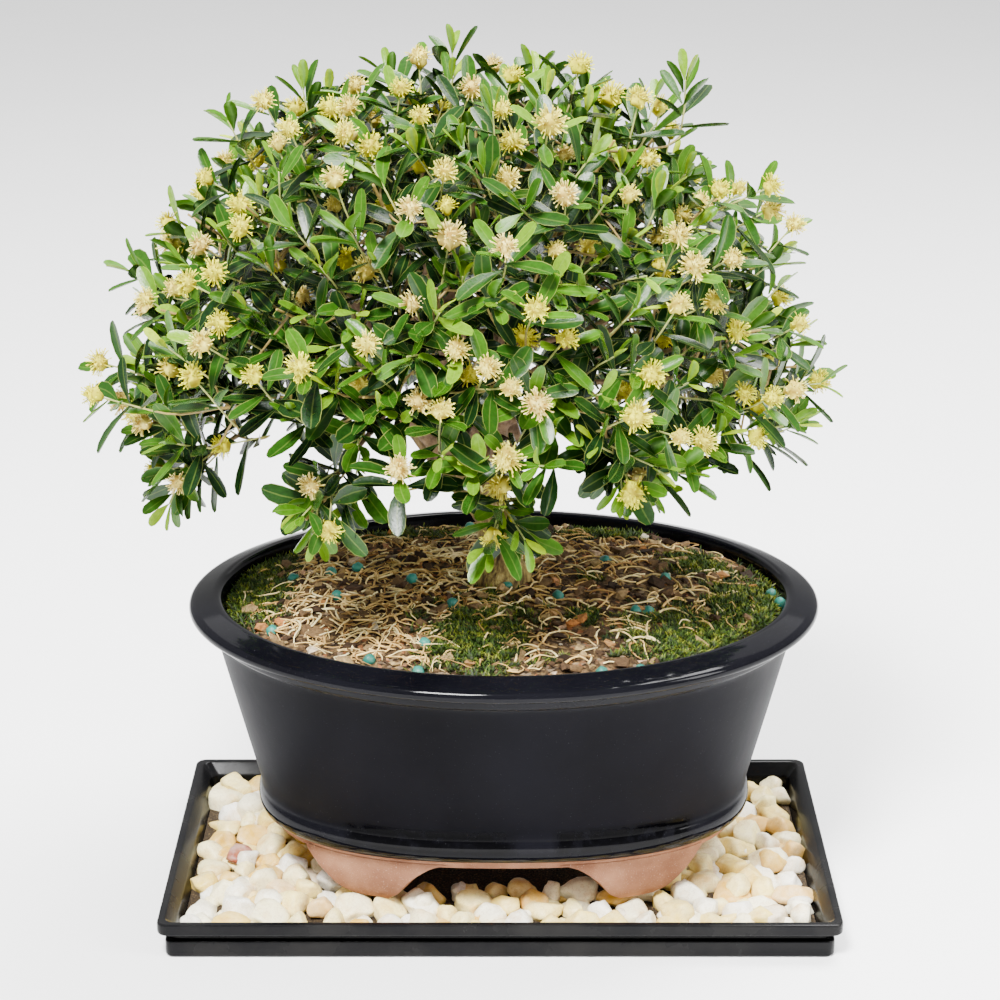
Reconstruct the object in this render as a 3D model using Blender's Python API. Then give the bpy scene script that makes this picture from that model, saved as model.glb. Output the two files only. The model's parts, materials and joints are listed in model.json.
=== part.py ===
"""Flowering boxwood bonsai in a glazed oval pot, standing on pebbles in a humidity tray.

Units are metres and +Z is up. The front is towards -Y.
The origin is the middle of the tray's underside.
"""

import math
import random

import bpy
import bmesh
from mathutils import Vector, noise
from mathutils.bvhtree import BVHTree

MM = 0.001
CLEARANCE = 0.3 * MM

# Tray
TRAY_LENGTH = 215.0 * MM
TRAY_DEPTH = 124.0 * MM
TRAY_HEIGHT = 12.3 * MM
TRAY_LIP_DROP = 4.0 * MM
TRAY_LIP_WIDTH = 2.6 * MM
TRAY_GROOVE_INSET = 3.9 * MM
TRAY_GROOVE = 2.8 * MM
TRAY_BODY_INSET = 2.2 * MM
TRAY_SHOULDER_INSET, TRAY_SHOULDER_Z = 5.4 * MM, 8.6 * MM
TRAY_FLOOR = 2.0 * MM
TRAY_FLOOR_INSET = 7.4 * MM
TRAY_CORNER = 3.6 * MM
TRAY_CORNER_STEPS = 4
TRAY_INNER_CORNER = 3.0 * MM

# Pebbles
GRIT_TOP = 6.0 * MM
PEBBLE_PITCH_X = 19.0 * MM
PEBBLE_PITCH_Y = 18.0 * MM
PEBBLE_RADIUS = 9.3 * MM
PEBBLE_TOP = 11.8 * MM
PEBBLE_BOTTOM = 3.0 * MM
PEBBLE_UNEVEN = (-1.4 * MM, 0.4 * MM)
BED_GAP = 1.2 * MM

# Pot
POT_X = 1.2 * MM
POT_Y = 1.0 * MM
POT_SEGMENTS = 36
FOOT_Z = 11.0 * MM
BASE_Z = 24.8 * MM
GLAZE_EDGE_Z = 27.6 * MM
CREASE_Z = 36.0 * MM
FLOOR_Z = 32.0 * MM
FASCIA_Z = 90.3 * MM
WALL_TOP_Z = 92.5 * MM
CROWN_Z = 101.2 * MM
WALL_BOTTOM_X, WALL_BOTTOM_Y = 79.0 * MM, 52.0 * MM
WALL_TOP_X, WALL_TOP_Y = 94.0 * MM, 75.0 * MM
WALL_THICKNESS = 6.5 * MM
RIM_OVERHANG = 7.5 * MM
RIM_INNER = 3.0 * MM
OVAL_POWER_TOP = 2.0
OVAL_POWER_BOTTOM = 2.4
FOOT_START, FOOT_END = math.radians(36.5), math.radians(80)
FOOT_INSET = 2.6 * MM
FOOT_THICKNESS = 14.0 * MM
HOLE_SPACING = 64.0 * MM
HOLE_RADIUS = 7.0 * MM

# Drainage screens
SCREEN_SIZE = 21.0 * MM
SCREEN_THICKNESS = 1.0 * MM
SCREEN_CELLS = 3
SCREEN_BAR = 1.8 * MM

# Soil
SOIL_BOTTOM_Z = FLOOR_Z + SCREEN_THICKNESS + 2 * CLEARANCE
SOIL_EDGE_Z = 97.4 * MM
SOIL_MOUND = 6.2 * MM
SOIL_ROUGHNESS = 0.8 * MM

# Trunk
TRUNK_X, TRUNK_Y = 0.5 * MM, 1.0 * MM
TRUNK_PLUG_RADIUS = 8.2 * MM
TRUNK_PLUG_Z = 86.0 * MM
TRUNK_TOP_Z = 150.0 * MM
TRUNK_SIDES = 12
LIMB_RADIUS = 3.4 * MM
TWIG_RADIUS = 1.4 * MM
LIMB_COUNT = 8
LIMB_FIRST_TURN = 2.6
LIMB_TURN = 2.4
LIMB_SAG = 3.0 * MM
LIMB_SHARE = 0.42

# Canopy: a dome with flattened sides, measured from its own middle
CANOPY_CENTRE = Vector((-10.0, 4.0, 165.0)) * MM
CANOPY_X = 114.0 * MM
CANOPY_Y = 94.0 * MM
CANOPY_UP = 110.0 * MM
CANOPY_DOWN = 34.0 * MM
CANOPY_POWER = 2.15
SPRAY_COUNT = 39
LOWEST_SPRAY = 0.0
ANCHOR_SHARE = 0.53
HANGING_SPACE = 24.0 * MM

# Sprays
SEED = 17
CORE_RADIUS = 12.0 * MM
CORE_STRETCH = 1.2
NEIGHBOUR_REACH = 76.0 * MM
LEAF_TRIES = 10
LEAF_LENGTH = 17.5 * MM
LEAF_WIDTH = 5.8 * MM
LEAF_THICKNESS = 1.2 * MM
LEAF_WIDEST = 0.62
LEAF_TIP_WIDTH = 0.45
GROWTHS_PER_SPRAY = 13
BLOOM_FACES = (1, 6)
BLOOM_RADIUS = 4.5 * MM

# Boughs that hang lower than the dome: where each one ends and how far back it starts
HANGING_SPRAYS = (
    (Vector((-116, -8, 170)) * MM, Vector((-84, -4, 168)) * MM),
    (Vector((-106, -20, 142)) * MM, Vector((-82, -10, 156)) * MM),
    (Vector((-60, -68, 144)) * MM, Vector((-46, -46, 160)) * MM),
    (Vector((2, -68, 138)) * MM, Vector((0, -44, 157)) * MM),
    (Vector((46, -66, 148)) * MM, Vector((34, -44, 164)) * MM),
)


def clear_scene():
    for item in list(bpy.data.objects):
        bpy.data.objects.remove(item, do_unlink=True)


def make_material(name, colour, roughness):
    material = bpy.data.materials.new(name)
    material.use_nodes = True
    shader = material.node_tree.nodes["Principled BSDF"]
    shader.inputs["Base Color"].default_value = (*colour, 1.0)
    shader.inputs["Roughness"].default_value = roughness
    return material


def tray_plastic():
    return make_material("tray_plastic", (0.035, 0.036, 0.038), 0.35)


def pebble_stone():
    return make_material("pebble_stone", (0.80, 0.70, 0.52), 0.6)


def pot_glaze():
    return make_material("pot_glaze", (0.012, 0.013, 0.022), 0.2)


def screen_plastic():
    return make_material("screen_plastic", (0.03, 0.03, 0.03), 0.5)


def soil_mix():
    return make_material("soil_mix", (0.11, 0.07, 0.045), 0.95)


def bark():
    return make_material("bark", (0.30, 0.22, 0.11), 0.85)


def leaf_green():
    return make_material("leaf_green", (0.07, 0.16, 0.04), 0.4)


def add_loft(mesh, rings):
    """Skin a list of equal rings and close both ends with a flat face."""
    rows = [[mesh.verts.new(point) for point in ring] for ring in rings]
    count = len(rows[0])
    for lower, upper in zip(rows, rows[1:]):
        for index in range(count):
            after = (index + 1) % count
            mesh.faces.new((lower[index], lower[after], upper[after], upper[index]))
    mesh.faces.new(rows[0][::-1])
    mesh.faces.new(rows[-1])


def solid(name, mesh, material):
    """Turn a bmesh into an object whose faces all point out."""
    bmesh.ops.recalc_face_normals(mesh, faces=mesh.faces)
    bmesh.ops.triangulate(mesh, faces=mesh.faces)
    data = bpy.data.meshes.new(name)
    mesh.to_mesh(data)
    mesh.free()
    item = bpy.data.objects.new(name, data)
    item.data.materials.append(material)
    bpy.context.scene.collection.objects.link(item)
    return item


def evaluated_mesh(item):
    graph = bpy.context.evaluated_depsgraph_get()
    return bpy.data.meshes.new_from_object(item.evaluated_get(graph))


def boolean_with(item, others, operation):
    """Join the other solids to this one, or cut them from it, and remove them."""
    group = bpy.data.collections.new(item.name + "_group")
    bpy.context.scene.collection.children.link(group)
    for other in others:
        bpy.context.scene.collection.objects.unlink(other)
        group.objects.link(other)
    change = item.modifiers.new("join", "BOOLEAN")
    change.operation = operation
    change.operand_type = "COLLECTION"
    change.collection = group
    change.solver = "EXACT"
    result = evaluated_mesh(item)
    item.modifiers.clear()
    item.data = result
    for other in others:
        bpy.data.objects.remove(other, do_unlink=True)
    bpy.data.collections.remove(group)


def smooth(item, angle=40):
    item.data.shade_smooth()
    item.data.set_sharp_from_angle(angle=math.radians(angle))


def rounded_rectangle(length, depth, corner, z):
    ring = []
    for quarter in range(4):
        side_x = 1 if quarter in (0, 3) else -1
        side_y = 1 if quarter in (0, 1) else -1
        middle = Vector((side_x * (length / 2 - corner), side_y * (depth / 2 - corner), z))
        for step in range(TRAY_CORNER_STEPS + 1):
            angle = math.pi / 2 * (quarter + step / TRAY_CORNER_STEPS)
            ring.append(middle + corner * Vector((math.cos(angle), math.sin(angle), 0)))
    return ring


def tray_ring(inset, z):
    corner = max(TRAY_CORNER - inset * 0.6, TRAY_INNER_CORNER)
    return rounded_rectangle(TRAY_LENGTH - 2 * inset, TRAY_DEPTH - 2 * inset, corner, z)


def tray_wall_inset(z):
    """How far the inner wall lies in from the tray's outer edge at a height."""
    share = max(0.0, (TRAY_SHOULDER_Z - z) / (TRAY_SHOULDER_Z - TRAY_FLOOR))
    return TRAY_SHOULDER_INSET + share * (TRAY_FLOOR_INSET - TRAY_SHOULDER_INSET)


def make_tray():
    lip_bottom = TRAY_HEIGHT - TRAY_LIP_DROP
    body_top = lip_bottom - TRAY_GROOVE
    edge = 0.4 * MM
    profile = (
        (TRAY_BODY_INSET + edge, 0.0),
        (TRAY_BODY_INSET, edge),
        (TRAY_BODY_INSET, body_top - edge),
        (TRAY_BODY_INSET + edge, body_top),
        (TRAY_GROOVE_INSET, body_top),
        (TRAY_GROOVE_INSET, lip_bottom - edge),
        (edge, lip_bottom),
        (0.0, lip_bottom + edge),
        (0.0, TRAY_HEIGHT - edge),
        (edge, TRAY_HEIGHT),
        (TRAY_LIP_WIDTH - edge, TRAY_HEIGHT),
        (TRAY_LIP_WIDTH, TRAY_HEIGHT - edge),
        (TRAY_SHOULDER_INSET, TRAY_SHOULDER_Z),
        (TRAY_FLOOR_INSET, TRAY_FLOOR + edge),
        (TRAY_FLOOR_INSET + 2 * edge, TRAY_FLOOR),
    )
    mesh = bmesh.new()
    add_loft(mesh, [tray_ring(inset, z) for inset, z in profile])
    tray = solid("tray", mesh, tray_plastic())
    smooth(tray)
    return tray


def foot_spots():
    """Plan positions of the four feet of the pot."""
    half_x, half_y, power = pot_size(BASE_Z)
    middle = (FOOT_START + FOOT_END) / 2
    spots = []
    for side_x in (-1, 1):
        for side_y in (-1, 1):
            inset = FOOT_INSET + FOOT_THICKNESS / 2
            x = (half_x - inset) * math.cos(middle) ** (2 / power)
            y = (half_y - inset) * math.sin(middle) ** (2 / power)
            spots.append(Vector((POT_X + side_x * x, POT_Y + side_y * y, 0)))
    return spots


def pebble(name, place, depth, turn, top, material):
    """A stone with twenty faces, pushed about a little so that no two are alike."""
    mesh = bmesh.new()
    bmesh.ops.create_icosphere(mesh, subdivisions=1, radius=1.0)
    for vert in mesh.verts:
        dent = 1.0 - 0.12 * abs(noise.noise(vert.co * 1.7 + place / PEBBLE_RADIUS))
        vert.co = Vector((vert.co.x * dent, vert.co.y * dent, vert.co.z))
        x = vert.co.x * PEBBLE_RADIUS
        y = vert.co.y * depth
        vert.co.x = place.x + x * math.cos(turn) - y * math.sin(turn)
        vert.co.y = place.y + x * math.sin(turn) + y * math.cos(turn)
        vert.co.z = PEBBLE_BOTTOM + (vert.co.z + 1) / 2 * (top - PEBBLE_BOTTOM)
    return solid(name, mesh, material)


def pebble_places():
    """Staggered rows over the tray, with the nearest stone to each foot moved under it."""
    reach_x = TRAY_LENGTH / 2 - TRAY_FLOOR_INSET - PEBBLE_RADIUS
    reach_y = TRAY_DEPTH / 2 - TRAY_FLOOR_INSET - PEBBLE_RADIUS
    columns = int(2 * reach_x / PEBBLE_PITCH_X)
    rows = int(2 * reach_y / PEBBLE_PITCH_Y)
    places = []
    for row in range(rows + 1):
        for column in range(columns + 1):
            shift = 0.25 if row % 2 else -0.25
            x = -reach_x + 2 * reach_x * (column + shift) / columns
            y = -reach_y + 2 * reach_y * row / rows
            places.append(Vector((max(-reach_x, min(reach_x, x)), y, 0)))
    for spot in foot_spots():
        nearest = min(places, key=lambda place: (place - spot).length)
        nearest.xy = spot.xy
    return places


def make_pebble_bed():
    """Grit on the tray's floor with rows of pebbles sunk in it, which the feet stand on."""
    stone = pebble_stone()
    draw = random.Random(SEED)
    mesh = bmesh.new()
    levels = (TRAY_FLOOR + CLEARANCE, GRIT_TOP)
    add_loft(mesh, [tray_ring(tray_wall_inset(z) + BED_GAP, z) for z in levels])
    bed = solid("pebble_bed", mesh, stone)
    feet = foot_spots()
    pebbles = []
    for index, place in enumerate(pebble_places()):
        near_foot = min((place - foot).length for foot in feet) < 2 * PEBBLE_RADIUS
        top = FOOT_Z - CLEARANCE if near_foot else PEBBLE_TOP + draw.uniform(*PEBBLE_UNEVEN)
        depth = PEBBLE_RADIUS * draw.uniform(0.84, 0.96)
        turn = draw.uniform(-0.5, 0.5)
        pebbles.append(pebble(f"pebble_{index}", place, depth, turn, top, stone))
    boolean_with(bed, pebbles, "UNION")
    return bed


def pot_size(z):
    """Half sizes and squareness of the outer wall at a height."""
    share = (z - CREASE_Z) / (WALL_TOP_Z - CREASE_Z)
    share = max(0.0, min(1.0, share))
    half_x = WALL_BOTTOM_X + share * (WALL_TOP_X - WALL_BOTTOM_X)
    half_y = WALL_BOTTOM_Y + share * (WALL_TOP_Y - WALL_BOTTOM_Y)
    power = OVAL_POWER_BOTTOM + share * (OVAL_POWER_TOP - OVAL_POWER_BOTTOM)
    return half_x, half_y, power


def oval_point(angle, offset, z):
    """A point on the pot's oval at a height, moved out from the wall by an offset."""
    half_x, half_y, power = pot_size(z)
    cosine, sine = math.cos(angle), math.sin(angle)
    x = (half_x + offset) * math.copysign(abs(cosine) ** (2 / power), cosine)
    y = (half_y + offset) * math.copysign(abs(sine) ** (2 / power), sine)
    return Vector((POT_X + x, POT_Y + y, z))


def oval_ring(offset, z):
    angles = [2 * math.pi * step / POT_SEGMENTS for step in range(POT_SEGMENTS)]
    return [oval_point(angle, offset, z) for angle in angles]


def pot_profile():
    """Offset from the wall and height, from the base up the outside and down the inside."""
    return (
        (-3.2 * MM, BASE_Z),
        (-2.4 * MM, GLAZE_EDGE_Z - 0.3 * MM),
        (-1.2 * MM, GLAZE_EDGE_Z),
        (1.0 * MM, GLAZE_EDGE_Z + 2.0 * MM),
        (1.9 * MM, CREASE_Z - 4.2 * MM),
        (1.4 * MM, CREASE_Z - 1.6 * MM),
        (0.0, CREASE_Z),
        (0.0, FASCIA_Z),
        (1.8 * MM, FASCIA_Z + 0.5 * MM),
        (2.4 * MM, WALL_TOP_Z + 2.4 * MM),
        (RIM_OVERHANG - 0.8 * MM, WALL_TOP_Z + 2.9 * MM),
        (RIM_OVERHANG, WALL_TOP_Z + 4.0 * MM),
        (RIM_OVERHANG - 0.2 * MM, CROWN_Z - 3.0 * MM),
        (RIM_OVERHANG - 1.6 * MM, CROWN_Z - 2.0 * MM),
        (-RIM_INNER + 2.0 * MM, CROWN_Z),
        (-RIM_INNER, CROWN_Z - 0.6 * MM),
        (-RIM_INNER - 0.7 * MM, CROWN_Z - 2.6 * MM),
        (-WALL_THICKNESS, WALL_TOP_Z - 3.0 * MM),
        (-WALL_THICKNESS, CREASE_Z),
        (-WALL_THICKNESS - 2.5 * MM, FLOOR_Z),
    )


def make_foot(side_x, side_y, material):
    """A cloud foot: a lobe that hangs from the base, hollow on its inner side, with a rounded tip."""
    shape = ((0.0, 1.0, 1.0, 0.0), (0.14, 0.80, 0.94, 0.1), (0.5, 0.56, 0.70, 0.6),
             (0.82, 0.42, 0.44, 1.6), (1.0, 0.26, 0.22, 3.2))
    top = BASE_Z + 1.0 * MM
    middle = (FOOT_START + FOOT_END) / 2
    spread = (FOOT_END - FOOT_START) / 2
    steps = 4
    rings = []
    for drop, inward, outward, tuck in shape:
        z = top - drop * (top - FOOT_Z)
        first, last = middle - spread * outward, middle + spread * inward
        angles = [first + (last - first) * step / steps for step in range(steps + 1)]
        outer = [oval_point(angle, -FOOT_INSET - tuck * MM, z) for angle in angles]
        inner = [oval_point(angle, -FOOT_INSET - FOOT_THICKNESS + tuck * MM, z) for angle in angles]
        ring = outer + inner[::-1]
        rings.append([
            Vector((POT_X + side_x * (point.x - POT_X), POT_Y + side_y * (point.y - POT_Y), point.z))
            for point in ring
        ])
    mesh = bmesh.new()
    add_loft(mesh, rings)
    return solid("foot", mesh, material)


def make_drain_cutter(side, material):
    mesh = bmesh.new()
    rings = []
    for z in (BASE_Z - 5 * MM, FLOOR_Z + 5 * MM):
        rings.append([
            Vector((
                POT_X + side * HOLE_SPACING / 2 + HOLE_RADIUS * math.cos(math.pi * step / 8),
                POT_Y + HOLE_RADIUS * math.sin(math.pi * step / 8),
                z,
            ))
            for step in range(16)
        ])
    add_loft(mesh, rings)
    return solid("drain", mesh, material)


def make_pot():
    glaze = pot_glaze()
    mesh = bmesh.new()
    add_loft(mesh, [oval_ring(offset, z) for offset, z in pot_profile()])
    pot = solid("pot", mesh, glaze)
    feet = [make_foot(side_x, side_y, glaze) for side_x in (-1, 1) for side_y in (-1, 1)]
    boolean_with(pot, feet, "UNION")
    boolean_with(pot, [make_drain_cutter(side, glaze) for side in (-1, 1)], "DIFFERENCE")
    smooth(pot)
    return pot


def make_screen(side, name):
    """A square of plastic mesh that keeps the soil from washing out of a drainage hole."""
    mesh = bmesh.new()
    cells = 2 * SCREEN_CELLS + 1
    cell = (SCREEN_SIZE - SCREEN_BAR) / SCREEN_CELLS
    lines = []
    for index in range(SCREEN_CELLS + 1):
        lines += [index * cell, index * cell + SCREEN_BAR]
    bottom = FLOOR_Z + CLEARANCE
    start_x = POT_X + side * HOLE_SPACING / 2 - SCREEN_SIZE / 2
    start_y = POT_Y - SCREEN_SIZE / 2
    low = [[mesh.verts.new((start_x + x, start_y + y, bottom)) for x in lines] for y in lines]
    for row in range(cells):
        for column in range(cells):
            if row % 2 and column % 2:
                continue
            corners = (low[row][column], low[row][column + 1], low[row + 1][column + 1], low[row + 1][column])
            mesh.faces.new(corners)
    flat = list(mesh.faces)
    lifted = bmesh.ops.extrude_face_region(mesh, geom=flat, use_keep_orig=True)
    raised = [part for part in lifted["geom"] if isinstance(part, bmesh.types.BMVert)]
    bmesh.ops.translate(mesh, vec=(0, 0, SCREEN_THICKNESS), verts=raised)
    bmesh.ops.dissolve_limit(mesh, angle_limit=math.radians(1), verts=mesh.verts, edges=mesh.edges)
    return solid(name, mesh, screen_plastic())


def soil_height(point):
    """Height of the soil at a plan position: a mound round the trunk, with small lumps."""
    edge = oval_point(math.atan2(point.y - POT_Y, point.x - POT_X), -5.4 * MM, SOIL_EDGE_Z)
    reach = math.hypot(edge.x - POT_X, edge.y - POT_Y)
    share = min(1.0, math.hypot(point.x - POT_X, point.y - POT_Y) / reach)
    lumps = noise.noise(Vector((point.x, point.y, 0)) / (9 * MM))
    return SOIL_EDGE_Z + SOIL_MOUND * (1 - share ** 2.2) + SOIL_ROUGHNESS * lumps * (1 - share ** 6)


def make_soil():
    """The filled inside of the pot, with a plain hole that the foot of the trunk stands in."""
    gap = CLEARANCE + 0.1 * MM
    rings = [
        oval_ring(-WALL_THICKNESS - 3.2 * MM - gap, SOIL_BOTTOM_Z),
        oval_ring(-WALL_THICKNESS - gap, CREASE_Z + 0.6 * MM),
        oval_ring(-WALL_THICKNESS - gap, WALL_TOP_Z - 3.0 * MM),
        oval_ring(-5.6 * MM - gap, SOIL_EDGE_Z - 1.0 * MM),
    ]
    trunk = Vector((TRUNK_X, TRUNK_Y, 0))
    hole = TRUNK_PLUG_RADIUS + CLEARANCE
    for share in (0.985, 0.90, 0.77, 0.62, 0.46, 0.30):
        ring = []
        for point in oval_ring(-5.6 * MM - gap, SOIL_EDGE_Z):
            flat = Vector((point.x, point.y, 0))
            inward = (flat - trunk).normalized() * hole
            place = trunk + inward + (flat - trunk - inward) * share
            ring.append(Vector((place.x, place.y, soil_height(place))))
        rings.append(ring)
    for z in (None, TRUNK_PLUG_Z - CLEARANCE):
        ring = []
        for point in oval_ring(0, SOIL_EDGE_Z):
            flat = Vector((point.x, point.y, 0))
            place = trunk + (flat - trunk).normalized() * hole
            ring.append(Vector((place.x, place.y, soil_height(place) if z is None else z)))
        rings.append(ring)
    mesh = bmesh.new()
    add_loft(mesh, rings)
    soil = solid("soil", mesh, soil_mix())
    smooth(soil, 60)
    return soil


def frame_along(direction):
    """Two sideways directions square to a third."""
    helper = Vector((0, 0, 1)) if abs(direction.z) < 0.9 else Vector((1, 0, 0))
    side = direction.cross(helper).normalized()
    return side, direction.cross(side).normalized()


def tube(name, path, radii, sides, material, flutes=0.0):
    """A solid tube along a list of points; flutes push its sides in and out."""
    mesh = bmesh.new()
    rings = []
    for index, point in enumerate(path):
        before = path[max(0, index - 1)]
        after = path[min(len(path) - 1, index + 1)]
        side, up = frame_along((after - before).normalized())
        ring = []
        for step in range(sides):
            angle = 2 * math.pi * step / sides
            wave = 1.0 + flutes * math.cos(3 * angle + 0.5 * index) if index > 1 else 1.0
            ring.append(point + radii[index] * wave * (math.cos(angle) * side + math.sin(angle) * up))
        rings.append(ring)
    add_loft(mesh, rings)
    return solid(name, mesh, material)


def canopy_reach(direction):
    """Distance from the canopy's middle to its surface in a direction."""
    up = CANOPY_UP if direction.z > 0 else CANOPY_DOWN
    shares = (abs(direction.x) / CANOPY_X, abs(direction.y) / CANOPY_Y, abs(direction.z) / up)
    total = sum(share ** CANOPY_POWER for share in shares)
    return total ** (-1 / CANOPY_POWER)


def spray_lines():
    """Start, core and tip of each spray: an even spiral over the dome, then the hanging boughs."""
    lines = []
    golden = math.pi * (3 - math.sqrt(5))
    for index in range(SPRAY_COUNT):
        height = 1 - (1 - LOWEST_SPRAY) * (index + 0.5) / SPRAY_COUNT
        level = math.sqrt(1 - height * height)
        direction = Vector((math.cos(golden * index) * level, math.sin(golden * index) * level, height))
        reach = canopy_reach(direction)
        tip = CANOPY_CENTRE + direction * reach
        if any((tip - end).length < HANGING_SPACE for end, start in HANGING_SPRAYS):
            continue
        lines.append((CANOPY_CENTRE + direction * reach * ANCHOR_SHARE, tip))
    for end, start in HANGING_SPRAYS:
        lines.append((start, end))
    return lines


def tree_of(mesh):
    """A search tree of a bmesh's faces, used to see what a new piece would cross."""
    return BVHTree.FromBMesh(mesh, epsilon=0.0)


def grow_from(mesh, face, rings, tip=None):
    """Pull a three-sided face out through a list of rings, and close it at an edge or flat."""
    corners = list(face.verts)
    mesh.faces.remove(face)
    for ring in rings:
        first = min(range(3), key=lambda turn: sum(
            (corners[index].co - ring[(index + turn) % 3]).length for index in range(3)
        ))
        fresh = [mesh.verts.new(ring[(index + first) % 3]) for index in range(3)]
        for index in range(3):
            after = (index + 1) % 3
            mesh.faces.new((corners[index], corners[after], fresh[after], fresh[index]))
        corners = fresh
    if tip is None:
        mesh.faces.new(corners)
        return
    ends = [mesh.verts.new(point) for point in tip]
    keel = min(range(3), key=lambda index: abs(
        (corners[index].co - ends[0].co).length - (corners[index].co - ends[1].co).length
    ))
    first, second = corners[(keel + 1) % 3], corners[(keel + 2) % 3]
    if (first.co - ends[0].co).length > (first.co - ends[1].co).length:
        ends.reverse()
    mesh.faces.new((corners[keel], first, ends[0]))
    mesh.faces.new((first, second, ends[1], ends[0]))
    mesh.faces.new((second, corners[keel], ends[1]))
    mesh.faces.new((corners[keel], ends[0], ends[1]))


def leaf_rings(root, along, across, length, width, thickness):
    """A spoon-shaped blade of three-sided section: a stalk, the widest place and a tip."""
    keel = across.cross(along).normalized()
    rings = []
    for share, size in ((0.10, 0.30), (LEAF_WIDEST, 1.0)):
        middle = root + along * length * share
        half = across * width * size / 2
        rings.append((middle + half, middle - half, middle - keel * thickness))
    end = root + along * length
    half = across * width * LEAF_TIP_WIDTH / 2
    return rings, (end + half, end - half)


def leaf_margin(root, along, across, length, width, thickness):
    """The same blade as a closed shape of its own, a little larger, for crossing tests."""
    rings, tip = leaf_rings(root, along, across, length, width, thickness)
    keel = across.cross(along).normalized()
    lifted = [[point + keel * thickness / 3 for point in ring] for ring in rings]
    back = along * length * 0.08
    mesh = bmesh.new()
    face = mesh.faces.new([mesh.verts.new(point - back) for point in lifted[0]])
    grow_from(mesh, face, lifted[1:], tip)
    return closed_tree(mesh)


def closed_tree(mesh):
    tree = tree_of(mesh)
    mesh.free()
    return tree


def ball_margin(centre, radius):
    mesh = bmesh.new()
    bmesh.ops.create_icosphere(mesh, subdivisions=2, radius=radius)
    bmesh.ops.translate(mesh, vec=centre, verts=mesh.verts)
    return closed_tree(mesh)


def rod_margin(start, end, radius):
    side, up = frame_along((end - start).normalized())
    mesh = bmesh.new()
    add_loft(mesh, [
        [point + radius * outward for outward in (side, up, -side, -up)]
        for point in (start, end)
    ])
    return closed_tree(mesh)


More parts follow.
